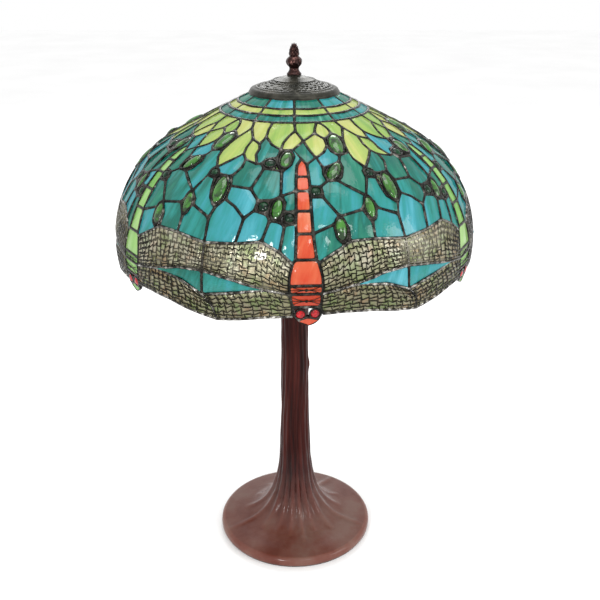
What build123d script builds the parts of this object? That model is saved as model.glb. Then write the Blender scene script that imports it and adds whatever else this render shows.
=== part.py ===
from build123d import *
import math
import os

# Stained glass table lamp with six dragonflies round the rim of its shade. Millimetres, +Z up.
# The origin is the middle of the base's underside. Azimuth is in degrees, 0 at the front (-Y)
# and growing towards +X.

# ---- overall sizes --------------------------------------------------------------------------
shade_radius = 199.0         # outer face of the glass at its widest
shade_widest_height = 400.0  # height of that widest line
bend_radius = 128.0          # meridian arc of the shade, outer face of the glass
top_slope = 27.3             # slope of the conical top, degrees
crown_radius = 45.0          # top aperture of the shade
glass = 3.0                  # sheet glass
lead_over = 1.0              # how far the lead stands proud of the glass outside
lead_under = 1.0             # and inside
came = 2.6                   # width of lead seen between two panes
seat_gap = 0.1               # glass to lead, all round
rim_lead = 2.0               # lead along the lower border
repeats = 6
repeat_angle = 360.0 / repeats

foot_radius = 96.0
foot_rim_height = 11.0
trunk_radius = 15.2          # trunk at its top
trunk_height = 390.0
seam_height = 52.0           # the trunk's casting stands on the foot's here, hidden in the bark
seam_spigot = 4.0            # the foot's collar reaches this far up inside the trunk
casting_wall = 3.5
felt = 1.5

pipe_radius = 5.0            # M10 hollow pipe through the trunk
pipe_bore = 3.5
rod_radius = 3.0             # M6 rod that carries the shade
fit = 0.05                   # radial clearance of threads and turning fits
loose_fit = 0.2              # and of plain holes over the rod
cluster_radius = 16.0
cluster_length = 32.0
nut_height = 5.0
nut_across = 17.0
washer = 1.5
collar_height = 5.0

lamp_tilt = 15.0             # the two lampholders point outwards and this much up
holder_radius = 20.0
holder_wall = 1.5
screw_radius = 13.2          # E27 lamp cap
screw_length = 26.0
bulb_radius = 30.0
bulb_length = 82.0           # glass beyond the lamp cap
bulb_wall = 1.0
bulb_neck = 8.0              # glass inside the lamp cap
bulb_cap_wall = 0.6

cap_radius = 48.5            # vented cap on top of the shade
cap_rise = 15.5
cap_sheet = 1.6
finial_height = 33.5
finial_radius = 8.8


# ---- the shade's form -----------------------------------------------------------------------
arc_centre_r = shade_radius - bend_radius
slope = math.radians(top_slope)
cone_foot_r = arc_centre_r + bend_radius * math.sin(slope)
cone_foot_z = shade_widest_height + bend_radius * math.cos(slope)
cone_length = (cone_foot_r - crown_radius) / math.cos(slope)
crown_height = cone_foot_z + (cone_foot_r - crown_radius) * math.tan(slope)


def meridian(down, out=0.0):
    """Radius, height and lean of the glass face, 'down' mm from the crown, 'out' mm proud of it."""
    if down < cone_length:
        lean = slope
        r = crown_radius + down * math.cos(slope)
        z = crown_height - down * math.sin(slope)
    else:
        lean = slope + (down - cone_length) / bend_radius
        r = arc_centre_r + bend_radius * math.sin(lean)
        z = shade_widest_height + bend_radius * math.cos(lean)
    return r + out * math.sin(lean), z + out * math.cos(lean), lean


def on_shade(azimuth, down, out=0.0):
    r, z, _ = meridian(down, out)
    a = math.radians(azimuth)
    return Vector(r * math.sin(a), -r * math.cos(a), z)


def outward(azimuth, down):
    lean = meridian(down)[2]
    a = math.radians(azimuth)
    return Vector(math.sin(lean) * math.sin(a), -math.sin(lean) * math.cos(a), math.cos(lean))


# ---- the cartoon: one repeat of the leading, as (azimuth, mm down from the crown) -----------
points = {
    # ring of blocks under the crown
    "c10": (-29.5, 2), "c11": (-14.5, 2), "c12": (0.5, 2), "c13": (15.5, 2),
    "c20": (-29.5, 17.5), "c21": (-14.5, 17.5), "c22": (0.5, 17.5), "c23": (15.5, 17.5),
    "c30": (-29.5, 28), "c31": (-14.5, 28), "c32": (0.5, 28), "c33": (15.5, 28),
    "r1": (-29.5, 39), "r2": (-15, 39), "r3": (0.5, 39), "r4": (16.5, 39),
    # leaves
    "e1": (-27.5, 50), "a1": (-16, 50), "a2": (-15.5, 61), "a3": (-17.5, 72.5), "a4": (-22.5, 66),
    "b1": (1, 51), "b2": (-3, 60), "b3": (-5.3, 69), "b4": (-6, 79.5), "b5": (-11, 72.5),
    "n1": (5.2, 66.5), "v1": (-0.5, 80), "p1": (13.8, 48), "p2": (12.5, 55.5), "p3": (17, 65),
    "p4": (22.5, 57.5), "p5": (22, 50), "p6": (20, 43), "q1": (25.3, 61.5), "f1": (-32.5, 67),
    "h1": (-23.4, 79), "i1": (-22.8, 88.5), "l1": (-20.5, 96), "k1": (-15, 101), "k2": (-17, 88),
    "k3": (-16.5, 79), "u1": (-26.7, 98.5), "t1": (-31, 110), "t2": (-34, 97), "t3": (-34.5, 88),
    "t4": (-33.8, 76), "o1": (9.8, 91.5), "o2": (7.5, 80), "o3": (16.8, 75), "o4": (14, 84),
    # background above the wings
    "g1": (20.5, 91), "g2": (17.8, 84), "g3": (19.2, 98.5), "g4": (19.7, 106), "g6": (17.8, 117.5),
    "x1": (-7, 91), "x4": (-6.3, 101), "y1": (0.3, 90), "y2": (-1, 100), "y4": (-4.5, 108.5),
    "z1": (-11.5, 106.5), "z2": (-13, 100), "z3": (-11.5, 93), "l2": (-20.5, 106), "m1": (-23, 118.5),
    "m2": (-26, 118.5), "s1": (-14.5, 130.5), "s2": (-21.9, 129.5), "s3": (-22.3, 144),
    "s4": (-18.5, 150), "j1": (-6.8, 141.5), "d1": (-11.3, 142.5), "d2": (-12, 152.5),
    "d3": (-15, 160.5), "d5": (-8, 156), "j52": (-2.5, 143), "j53": (-3, 153), "j54": (-4.5, 162.5),
    "j55": (-7.6, 150), "j56": (-7, 161.5), "c1": (-4, 137), "bb1": (-32.7, 113), "bb2": (-32.7, 121.5),
    "bb3": (-29.3, 123.5), "bb4": (-28.5, 117.5), "j42": (-28.9, 133), "j43": (-28, 144),
    "j44": (-25, 153), "qa": (-26.3, 163.5), "k5": (11.8, 105.5), "k6": (11.3, 113), "k7": (12.2, 121.5),
    "k8": (9.3, 127.5), "k9": (9.8, 133), "q91": (15.8, 121.5), "b21": (5.7, 126.5), "b22": (9.6, 138.5),
    "b23": (5.6, 138.5), "j61": (14.2, 158.5), "j62": (16.3, 170), "j64": (12.6, 178), "j65": (11.9, 166),
    "j71": (24.3, 140.5), "j72": (26.6, 148), "j75": (26.8, 154), "j73": (24.2, 167), "j74": (21.8, 154),
    "b51": (-2.5, 165.5), "b54": (0.8, 164),
    # dragonfly: tail, body and head
    "t0": (3.4, 92.5), "tl1": (1.4, 101), "tl2": (1, 115.5), "tl3": (0.9, 131.5), "tl4": (0.9, 152),
    "tl5": (0.9, 173.5), "tl6": (0.6, 197.5), "tr1": (5.4, 100), "tr2": (5.7, 115.5), "tr3": (5.6, 131.5),
    "tr4": (5.6, 152), "tr5": (5.7, 173.5), "tr6": (6.4, 197.5), "bl1": (-1, 212), "bl2": (-1.2, 222),
    "bl3": (-1, 230), "bl4": (-0.3, 243), "bl5": (-0.2, 252.5), "br1": (7.9, 212), "br2": (8.1, 222),
    "br3": (7.9, 230), "br4": (7.4, 243), "br5": (8, 250.5), "hb1": (7, 259), "hb2": (4.3, 264.5),
    "hb3": (1.5, 260), "nl": (1, 257.5), "nt": (3.9, 253.5), "nr": (7.2, 256.5),
    # wings
    "w1": (-26, 187.5), "w2": (-16.5, 185), "w3": (-9, 181.5), "w4": (14.7, 186), "w5": (7, 200.5),
    "w6": (16.2, 182.5), "w7": (24, 183), "w8": (-3.8, 190.5), "w9": (-0.2, 201), "v0": (-26, 214),
    "v2": (-26, 238), "v4": (-23, 247), "v6": (-22, 262.5), "g8": (-8, 226), "g9": (-16, 219.5),
    "g7": (-15, 231), "h8": (17.5, 223.5), "h9": (26, 215.5), "h6": (27, 228), "m4": (-15, 259),
    "m5": (-8, 254.5), "m6": (14, 250), "m7": (22, 252), "m8": (31, 258.5),
}

# Panes by the glass that they are cut from. A + after a name is that point in the next repeat.
panes = {
    "ring_glass_upper": ["c10 c11 c12 c22 c21 c20", "c12 c13 c10+ c20+ c23 c22"],
    "ring_glass_middle": ["c20 c21 c22 c32 c31 c30", "c22 c23 c20+ c30+ c33 c32"],
    "ring_glass_lower": ["c30 c31 c32 r3 r2 r1", "c32 c33 c30+ r1+ r4 r3"],
    "leaf_glass": [
        "r1 r2 a1 a2 a3 a4 e1", "r2 r3 b1 b2 b3 b4 b5 a2 a1", "b1 n1 v1 b4 b3 b2",
        "r3 r4 p1 p2 n1 b1", "r4 p6 p5 p4 p3 p2 p1", "r4 r1+ e1+ f1+ q1 p4 p5 p6",
        "e1 a4 h1 i1 u1 t1 t2 t3 t4 f1", "a4 a3 k3 k2 k1 l1 i1 h1", "n1 p2 p3 o3 o4 o1 o2",
    ],
    "background_glass": [
        "i1 l1 l2 m1 m2 bb4 t1 u1", "a2 b5 b4 x1 z3 z2 k1 k2 k3 a3", "l1 k1 z2 z1 s1 s2 m1 l2",
        "z1 y4 c1 j1 d1 s1", "v1 t0 tl1 tl2 tl3 c1 y4 y2 y1", "v1 n1 o2 o1 tr1 t0",
        "tr1 o1 k5 k6 k7 k8 b21 tr2", "o1 o4 o3 g2 g1 g3 k5", "k8 k7 q91 j71 j74 j61 b22 k9",
        "g1 t3+ t2+ t1+ bb1+ bb2+ j71 q91 g6 g4 g3", "bb2+ bb3+ j42+ j43+ j44+ qa+ j75 j72 j71",
        "s2 s1 d1 d2 d3 s4 s3", "c1 tl3 tl4 j53 j52", "s3 s4 d3 w2 w1 qa j44", "d3 d2 d5 j56 w3 w2",
        "j56 j54 b51 w8 w3", "b51 b54 tl5 tl6 w9 w8", "b23 b22 j61 j65 tr5 tr4", "tr5 j65 j64 w4 w5 tr6",
        "j61 j74 j73 w7 w6 j62", "j73 j75 qa+ w1+ w7",
    ],
    "gap_glass": ["v0 g9 g8 g7 v2", "h8 h9 v0+ v2+ h6"],
    "wing_glass_upper": ["w1 w2 w3 w8 w9 bl1 bl2 bl3 g8 g9 v0", "w5 w4 w6 w7 w1+ v0+ h9 h8 br3 br2 br1"],
    "wing_glass_lower": ["bl3 g8 g7 v2 v4 v6 m4 m5 bl5 bl4", "br3 h8 h6 v2+ v4+ v6+ m8 m7 m6 br5 br4"],
    "dragonfly_glass": [
        "t0 tr1 tr2 tl2 tl1", "tl2 tr2 b21 tr3 tl3", "tl3 tr3 b23 tr4 tl4", "tl4 tr4 tr5 tl5 b54",
        "tl5 tr5 tr6 tl6", "tl6 tr6 w5 br1 br2 bl2 bl1 w9", "bl2 br2 br3 bl3", "bl3 br3 br4 bl4",
        "nl nt nr hb1 hb2 hb3",
    ],
}
curved_panes = ("wing_glass_upper", "wing_glass_lower")  # too wide to be cut flat
leg_panes = slice(6, 8)      # the two bands of the dragonfly that carry the legs

# Cast glass jewels: (azimuth, mm down, half length, half width, lean in degrees)
large_oval_jewels = [(21.8, 74, 15.0, 7.2, 8), (-25.4, 135, 15.2, 6.6, 0)]
small_oval_jewels = [
    (-3.0, 93.5, 11.5, 5.8, 8), (15.4, 111, 11.8, 6.0, 40), (-5.0, 150.5, 10.5, 5.0, 12),
    (14.0, 171, 11.2, 5.6, -2), (24.5, 153, 11.2, 5.1, -3),
]
round_jewels = [
    (-9.5, 99, 5.4), (7.5, 132.5, 5.0), (-30.7, 116.5, 4.5), (-9.3, 148.5, 5.2), (-1.1, 158.5, 4.8),
]
eye_jewels = [(1.9, 250.6, 4.7), (5.9, 250, 4.7)]
jewel_thickness = 0.62       # height of a jewel as a share of its width
filigree_sheet = 0.5         # pierced brass laid over the wings
rim_points = "v6 m4 m5 bl5 hb3 hb2 hb1 br5 m6 m7 m8 v6+".split()


def cartoon_point(name):
    azimuth, down = points[name.rstrip("+")]
    return (azimuth + repeat_angle, down) if name.endswith("+") else (azimuth, down)


def pane_plane(outline):
    """A plane tangent to the glass face at the pane's middle, as near to its corners as it can lie."""
    corners = [on_shade(*p) for p in outline]
    count = len(corners)
    middle = sum(corners, Vector(0, 0, 0)) * (1 / count)
    normal = Vector(0, 0, 0)
    for a, b in zip(corners, corners[1:] + corners[:1]):
        normal += (a - middle).cross(b - middle)
    normal = normal.normalized()
    if normal.dot(outward(*outline[0])) < 0:
        normal = normal * -1
    level = Vector(0, 0, 1).cross(normal).normalized()
    return Plane(origin=middle, x_dir=level, z_dir=normal)


sharpest = 0.35              # keeps the step at a sharp corner of a pane from running away


def inset(outline, distance):
    """The pane's outline in its own plane, moved inwards by a distance."""
    plane = pane_plane(outline)
    flat = [plane.to_local_coords(on_shade(*p)) for p in outline]
    flat = [(v.X, v.Y) for v in flat]
    area = sum(a[0] * b[1] - b[0] * a[1] for a, b in zip(flat, flat[1:] + flat[:1]))
    if area < 0:
        flat.reverse()
    moved = []
    for i, (x, y) in enumerate(flat):
        before = flat[i - 1]
        after = flat[(i + 1) % len(flat)]
        n1 = Vector(before[1] - y, x - before[0], 0).normalized()
        n2 = Vector(y - after[1], after[0] - x, 0).normalized()
        step = (n1 + n2) * (distance / max(1 + n1.dot(n2), sharpest))
        moved.append((x + step.X, y + step.Y))
    return plane, moved


def slab(outline, distance, low, high):
    """The inset outline as a flat slab from low to high along the pane's normal."""
    plane, flat = inset(outline, distance)
    corners = [plane.from_local_coords((x, y, low)) for x, y in flat]
    return Solid.extrude(Face(Wire.make_polygon(corners)), plane.z_dir * (high - low))


def shade_shell(low, high, start, end, arc_degrees, first_azimuth):
    """A wall of the shade between two offsets from the glass face, over an arc of azimuth."""
    def face_line(out):
        steep = slope + (end - cone_length) / bend_radius
        r0, z0, _ = meridian(start, out)
        r1, z1, _ = meridian(cone_length, out)
        arc = CenterArc((arc_centre_r, shade_widest_height), bend_radius + out,
                        90 - math.degrees(steep), math.degrees(steep - slope))
        return Line((r0, z0), (r1, z1)), arc, (r0, z0), meridian(end, out)[:2]

    outer_line, outer_arc, outer_top, outer_foot = face_line(high)
    inner_line, inner_arc, inner_top, inner_foot = face_line(low)
    edges = [outer_line, outer_arc, Line(outer_foot, inner_foot), inner_arc, inner_line,
             Line(inner_top, outer_top)]
    section = Plane.XZ * make_face(edges)
    wall = revolve(section, Axis.Z, revolution_arc=arc_degrees)
    return Rot(0, 0, first_azimuth - 90) * wall


def around(shape, first=0, every=1):
    """Copies of a solid or a list of solids, one for each repeat of the shade."""
    solids = shape if isinstance(shape, list) else [shape]
    turns = [i * repeat_angle for i in range(first, repeats, every)]
    return [Rot(0, 0, turn) * solid for turn in turns for solid in solids]


def jewel_place(azimuth, down, lean=0.0, out=0.0):
    """A frame on the glass face whose y runs up the meridian, leaning towards growing azimuth."""
    normal = outward(azimuth, down)
    level = Vector(0, 0, 1).cross(normal).normalized()
    place = Plane(origin=on_shade(azimuth, down, out), x_dir=level, z_dir=normal)
    return place.rotated((0, 0, -lean))


def jewel(azimuth, down, half_length, half_width, lean=0.0):
    """A cast cabochon: an ellipsoid seated in its hole in the lead."""
    ball = Sphere(1.0).solid()
    height = half_width * jewel_thickness
    body = scale(ball, by=(half_width, half_length, height))
    return (jewel_place(azimuth, down, lean, -glass / 2).location * body).solid()


def jewel_hole(azimuth, down, half_length, half_width, lean=0.0):
    """The hole in the lead, a gap larger than the jewel all round."""
    reach = 2 * glass
    hole = extrude(Ellipse(half_width + seat_gap, half_length + seat_gap), amount=reach, both=True)
    return (jewel_place(azimuth, down, lean, -glass / 2).location * hole).solid()


def all_jewels():
    rounds = round_jewels + eye_jewels
    return large_oval_jewels + small_oval_jewels + [(a, d, r, r, 0) for a, d, r in rounds]


# ---- pieces of the shade --------------------------------------------------------------------
wing_band = (150.0, 275.0)   # mm down between which the curved wing panes lie
through = 25.0               # cutters reach this far to either side of the glass


def pane_outlines(kind):
    return [[cartoon_point(name) for name in pane.split()] for pane in panes[kind]]


def glass_panes(kind):
    cut = came / 2 + seat_gap
    if kind in curved_panes:
        wall = shade_shell(-glass, 0, *wing_band, repeat_angle * 2, -repeat_angle)
        return [(wall & slab(o, cut, -through, through)).solid() for o in pane_outlines(kind)]
    return [slab(o, cut, -glass, 0) for o in pane_outlines(kind)]


def filigree(outlines):
    """Pierced brass laid on the glass, shown here as its plain sheet."""
    sheet = seat_gap + filigree_sheet
    wall = shade_shell(seat_gap, sheet, *wing_band, repeat_angle * 2, -repeat_angle)
    return [(wall & slab(o, came / 2 + seat_gap, -through, through)).solid() for o in outlines]


def lead_sector():
    """One sixth of the leading: the shade's wall with a hole for each pane and jewel."""
    lowest = max(down for _, down in points.values()) + rim_lead + 1
    past_rim = lowest + through
    overrun = 0.4            # degrees by which the cutters along the rim pass each other
    jewel_span = 5           # degrees to either side within which a jewel lies
    wall = shade_shell(-glass - lead_under, lead_over, 0.0, lowest, repeat_angle, -repeat_angle / 2)
    cutters = []
    for kind in panes:
        reach = through if kind in curved_panes else 3 * glass
        for outline in pane_outlines(kind):
            cutters.append((min(a for a, _ in outline), max(a for a, _ in outline),
                            slab(outline, came / 2, -reach, reach)))
    for place in all_jewels():
        cutters.append((place[0] - jewel_span, place[0] + jewel_span, jewel_hole(*place)))
    below = [cartoon_point(name) for name in rim_points]
    for (a, s), (b, t) in zip(below, below[1:]):
        a, b = a - overrun, b + overrun
        corners = [(a, s + rim_lead), (b, t + rim_lead), (b, past_rim), (a, past_rim)]
        cutters.append((a, b, slab(corners, 0, -through, through)))
    half = repeat_angle / 2
    tools = []
    for turn in (-repeat_angle, 0, repeat_angle):
        for low, high, cutter in cutters:
            if high + turn > -half and low + turn < half:
                tools.append(Rot(0, 0, turn) * cutter)
    cut = wall.cut(*tools)
    return max(cut.solids(), key=lambda s: s.volume)


def revolved(outline):
    """A solid of revolution about Z from (radius, height) corners."""
    return revolve(Plane.XZ * make_face(Polyline(*outline, close=True)), Axis.Z)


def tube(outer, inner, low, high):
    return revolved([(inner, low), (outer, low), (outer, high), (inner, high)])


def hex_nut(bore, low, height, across):
    body = extrude(Pos(0, 0, low) * RegularPolygon(across / 2, 6, major_radius=False), amount=height)
    return body - Pos(0, 0, low + height / 2) * Cylinder(bore, height * 2)


# ---- base -----------------------------------------------------------------------------------
foot_curve = [(0.97, 1), (0.73, 6), (0.52, 14), (0.385, 25)]  # share of foot_radius, mm above its rim
# the trunk's outside, as mm over trunk_radius and height
trunk_curve = [(12.5, seam_height), (7, 68), (4, 86), (2.5, 110), (1.5, 190), (0.5, 270)]
foot_line = [(foot_radius * share, foot_rim_height + rise) for share, rise in foot_curve]
trunk_line = [(trunk_radius + swell, z) for swell, z in trunk_curve] + [(trunk_radius, trunk_height)]
seam_lean = (-0.42, 1)       # direction of the outside where the two castings meet
seam_bore = trunk_line[0][0] - casting_wall
spigot_wall = 2.0
cord_hole_radius = 4.0
cord_hole_height = 6.0
cord_bore = 2.8
grommet_length = 8.0         # inside the hole
grommet_flange = 2.0         # and outside it
pocket_radius = 14.0         # pocket under the ballast for the pipe's nut
pocket_height = 11.0
ballast_gap = 8.0            # foot's rim to the ballast
thread_room = 1.0            # pipe to the ballast around it


def foot_casting():
    """Round foot, hollow underneath, with a collar on which the trunk stands."""
    outside = Spline(*foot_line, trunk_line[0], tangents=((-1, 0.15), seam_lean))
    skin = casting_wall * 0.8
    inner_line = [(r - skin, z - skin) for r, z in foot_line]
    step = seam_bore - spigot_wall
    inner_line += [(step, seam_height - seam_spigot - spigot_wall), (step, seam_height + seam_spigot),
                   (seam_bore - fit, seam_height + seam_spigot), (seam_bore - fit, seam_height)]
    inside = Polyline(*inner_line, trunk_line[0])
    rim = Polyline(foot_line[0], (foot_radius - 0.5, foot_rim_height - 1), (foot_radius, felt + 2),
                   (foot_radius - 1, felt), (inner_line[0][0], felt), inner_line[0])
    body = revolve(Plane.XZ * make_face([outside, rim, inside]), Axis.Z)
    depth = 2 * (grommet_length + grommet_flange)
    return body - Pos(0, foot_radius, cord_hole_height) * Rot(90, 0, 0) * Cylinder(cord_hole_radius, depth)


def trunk_casting():
    """Hollow tree trunk, closed on top round the pipe."""
    outside = Spline(*trunk_line, tangents=(seam_lean, (0, 1)))
    inner_top = trunk_height - casting_wall
    inner_line = [trunk_line[0], (seam_bore, seam_height), (seam_bore, seam_height + seam_spigot + fit)]
    inner_line += [(r - casting_wall, z) for r, z in trunk_line[1:-1]]
    inner_line += [(trunk_radius - casting_wall, inner_top), (pipe_radius + fit, inner_top),
                   (pipe_radius + fit, trunk_height), trunk_line[-1]]
    return revolve(Plane.XZ * make_face([outside, Polyline(*inner_line)]), Axis.Z)


def felt_pad():
    return Pos(0, 0, felt / 2) * Cylinder(foot_radius - 2, felt)


def ballast_weight():
    """Cast iron ring in the foot, with a pocket and a channel for the cord underneath."""
    top = foot_rim_height + 7
    side = foot_radius - ballast_gap
    bore = pipe_radius + thread_room
    body = revolved([(bore, pocket_height), (pocket_radius, pocket_height), (pocket_radius, felt),
                     (side, felt), (side, foot_rim_height - 4), (foot_radius * 0.66, foot_rim_height),
                     (foot_radius * 0.44, top), (bore, top)])
    channel = 3 * cord_bore
    return body - Pos(0, foot_radius / 2, felt) * Box(channel, foot_radius, 2 * (channel + felt))


def base_washer():
    return tube(pocket_radius - 1, pipe_radius + fit, pocket_height - washer, pocket_height)


def base_nut():
    return hex_nut(pipe_radius + fit, pocket_height - washer - nut_height, nut_height, nut_across)


cluster_foot = trunk_height + collar_height + nut_height
cluster_middle = cluster_foot + cluster_length / 2
cluster_top = cluster_foot + cluster_length
rod_seat = 8.0               # how deep the rod stands in the cluster


def stem_pipe():
    return tube(pipe_radius, pipe_bore, felt + 1, cluster_middle)


def cord_grommet():
    """Rubber bush in the back of the foot, where a mains cord would come out."""
    neck = cord_hole_radius - seat_gap
    flange = cord_hole_radius + 2
    length = grommet_flange + grommet_length
    body = revolved([(cord_bore, 0), (flange, 0), (flange, grommet_flange), (neck, grommet_flange),
                     (neck, length), (cord_bore, length)])
    return Pos(0, foot_radius + grommet_flange, cord_hole_height) * Rot(90, 0, 0) * body


def trunk_collar():
    bore = pipe_radius + fit
    low, high = trunk_height, trunk_height + collar_height
    lip = trunk_radius + 1.5
    return revolved([(bore, low), (lip, low), (lip, low + 2), (trunk_radius - 3, high), (bore, high)])


def collar_nut():
    return hex_nut(pipe_radius + fit, trunk_height + collar_height, nut_height, nut_across)


# ---- lampholders and bulbs: sizes along the lamp's axis from the cluster's middle -------------
nipple_start = cluster_radius - 5
holder_start = cluster_radius + 8
cup_depth = 24.0
cup_shoulder = 6.0
block_start = 7.0            # these three from holder_start
sleeve_start = 12.0
sleeve_length = 30.0
block_height = 4.8
block_boss = 6.0
flange_height = 3.7          # of the sleeve, which closes the cup
cap_start = holder_start + 16
cap_contact = 5.0
glass_start = cap_start + screw_length
screw_room = 0.4             # lamp cap to sleeve


def lamp_axis(side):
    """A frame at the cluster's middle whose z runs out along one lampholder."""
    return Pos(0, 0, cluster_middle) * Rot(0, side * (90 - lamp_tilt), 0)


def cluster_body():
    edge = 2
    bore, rod_bore = pipe_radius + fit, rod_radius + fit
    outline = [(bore, cluster_foot), (cluster_radius - edge, cluster_foot),
               (cluster_radius, cluster_foot + edge), (cluster_radius, cluster_top - edge),
               (cluster_radius - edge, cluster_top), (rod_bore, cluster_top),
               (rod_bore, cluster_top - rod_seat), (bore, cluster_top - rod_seat)]
    body = revolved(outline)
    for side in (-1, 1):
        drill = Cylinder(bore, 2 * (cluster_radius - pipe_radius - edge))
        body -= lamp_axis(side) * Pos(0, 0, cluster_radius) * drill
    return body


def socket_nipple(side):
    return lamp_axis(side) * tube(pipe_radius, pipe_bore, nipple_start, holder_start + 2 * holder_wall)


def lampholder_cup(side):
    r, w, z = holder_radius, holder_wall, holder_start
    bore = pipe_radius + fit
    foot, shoulder, top = r - cup_shoulder, z + cup_shoulder, z + cup_depth
    bevel = w * 0.4          # keeps the wall's thickness along the slanted shoulder
    outline = [(bore, z), (foot, z), (r, shoulder), (r, top), (r - w, top),
               (r - w, shoulder + bevel), (foot - bevel, z + w), (bore, z + w)]
    return lamp_axis(side) * revolved(outline)


def lampholder_sleeve(side):
    """Threaded sleeve that screws into the cup; the lamp cap screws into it."""
    low = holder_start + sleeve_start
    high = low + sleeve_length
    seat = holder_start + cup_depth + 0.3
    bore = screw_radius + screw_room
    inner, lip, nose = holder_radius - holder_wall - fit, holder_radius + 1, holder_radius - 1
    outline = [(bore, low), (inner, low), (inner, seat), (lip, seat), (lip, seat + flange_height),
               (nose, seat + flange_height), (nose, high), (bore, high)]
    return lamp_axis(side) * revolved(outline)


def contact_block(side):
    low = holder_start + block_start
    high = low + block_height
    side_radius = holder_radius - holder_wall - 0.5
    boss = high + 2.2
    outline = [(0, low), (side_radius, low), (side_radius, high), (block_boss, high),
               (block_boss, boss), (0, boss)]
    return lamp_axis(side) * revolved(outline)


def bulb_cap(side):
    """Screw cap with its tip and glass insulator, hollow behind them."""
    z, r, w = cap_start, screw_radius, bulb_cap_wall
    tip, cone, thread, floor = z - 1, z + 4, z + 6, z + 7
    outline = [(0, tip), (cap_contact, tip), (r - 2, cone), (r, thread), (r, z + screw_length),
               (r - w, z + screw_length), (r - w, floor), (0, floor)]
    return lamp_axis(side) * revolved(outline)


def bulb_glass(side):
    """Thin glass envelope, open where its neck stands in the screw cap."""
    z = glass_start - bulb_neck
    middle = glass_start + bulb_length - bulb_radius
    neck_radius = screw_radius - bulb_cap_wall - fit

    def wall_line(inwards):
        neck = Spline((neck_radius - inwards, z), (neck_radius - inwards, glass_start + 2),
                      (bulb_radius - inwards, middle), tangents=((0, 1), (0, 1)))
        return neck, CenterArc((0, middle), bulb_radius - inwards, 0, 90)

    ends = [Line((neck_radius, z), (neck_radius - bulb_wall, z)),
            Line((0, glass_start + bulb_length), (0, glass_start + bulb_length - bulb_wall))]
    body = revolve(Plane.XZ * make_face([*wall_line(0), *wall_line(bulb_wall), *ends]), Axis.Z)
    return lamp_axis(side) * body


# ---- what carries the shade -----------------------------------------------------------------
ring_depth = 4.4             # height of the ring that is soldered into the crown, under the glass
ring_width = 8.0
spider_height = 4.0
spider_width = 6.0           # of its arms and of its ring
spider_gap = 3.0             # shade's crown to the spider's ring
hub_radius = 10.0
hub_drop = 2.0
arms = 4
crown_seat = crown_height - ring_depth
cap_inner = cap_radius - cap_sheet
cap_foot = (crown_height - (cap_inner - crown_radius) * math.tan(slope)
            + (lead_over + seat_gap) / math.cos(slope))
cap_top = cap_foot + cap_rise
# the cap's outside, as shares of its radius and mm above its foot
cap_curve = [(1, 1.6), (0.96, 3.2), (0.887, 4.6), (0.856, 6), (0.784, 8), (0.619, 10.8),
             (0.433, 13.4), (0.29, 15.2)]
cap_neck = 8.0
vent_rows = ((34.0, 2.4), (26.0, 1.9))  # radius of each row and of its holes
vents = 16
cap_washer_height = 1.0
finial_foot = cap_top + cap_washer_height
rod_reach = 15.0             # of the rod's end above the washer
# the finial's side as shares of its radius and height: flare, neck, ball, waist, cone
finial_curve = [(0.61, 0.2), (1, 0.42), (0.64, 0.6), (0.67, 0.7), (0.4, 0.88), (0, 1)]


def riser_rod():
    low, high = cluster_top - rod_seat, finial_foot + rod_reach
    return Pos(0, 0, (low + high) / 2) * Cylinder(rod_radius, high - low)


def riser_sleeve():
    high = crown_seat - spider_height - hub_drop
    return tube(rod_radius + 3, rod_radius + loose_fit, cluster_top, high)


def shade_spider():
    """Hub, arms and a ring, on which the crown of the shade stands."""
    high = crown_seat - seat_gap
    low = high - spider_height
    ring_outer = crown_radius - spider_gap
    ring_inner = ring_outer - spider_width
    body = tube(hub_radius, rod_radius + fit, low - hub_drop + seat_gap, high)
    body += tube(ring_outer, ring_inner, low, high)
    arm = Box(ring_inner - hub_radius + 2, spider_width, spider_height)
    arm = Pos((hub_radius + ring_inner) / 2, 0, (low + high) / 2) * arm
    for turn in range(arms):
        body += Rot(0, 0, 360 / arms * (turn + 0.5)) * arm
    return body


def crown_ring():
    """Brass ring soldered inside the crown of the shade, against the leading's upper edge."""
    foot_r, foot_z, _ = meridian(0, -glass - lead_under)
    top_r, top_z, _ = meridian(0, lead_over)
    inner = crown_radius - ring_width
    return revolved([(foot_r, foot_z), (top_r, top_z), (inner, top_z), (inner, crown_seat),
                     (foot_r, crown_seat)])


def vent_cap():
    """Cast cap over the crown, with two rows of vents."""
    bore = rod_radius + loose_fit
    outer = [(cap_radius * share, cap_foot + z) for share, z in cap_curve]
    inner = [(r, z - cap_sheet) for r, z in outer[1:]]
    outline = [(cap_inner, cap_foot), (cap_radius, cap_foot), *outer, (cap_neck, cap_top), (bore, cap_top),
               (bore, cap_top - 2 * cap_sheet), *reversed(inner)]
    cap = revolved(outline)
    for row, (radius, size) in enumerate(vent_rows):
        for hole in range(vents):
            turn = 360 / vents * (hole + row / 2)
            cap -= Rot(0, 0, turn) * Pos(radius, 0, cap_foot) * Cylinder(size, 2 * cap_rise)
    return cap


def cap_washer():
    return tube(cap_neck - 0.5, rod_radius + loose_fit, cap_top, finial_foot)


def finial():
    """Pine cone finial that screws down on the rod."""
    z = finial_foot
    bore, depth = rod_radius + fit, z + rod_reach
    flare = finial_radius - 1
    side_points = [(finial_radius * share, z + finial_height * rise) for share, rise in finial_curve]
    foot = Polyline((bore, z), (flare, z), (flare, z + 1.5))
    side = Spline((flare, z + 1.5), *side_points, tangents=((-1, 0.8), (-1, 0.35)))
    hole = Polyline(side_points[-1], (0, depth), (bore, depth), (bore, z))
    return revolve(Plane.XZ * make_face([foot, side, hole]), Axis.Z)


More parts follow.
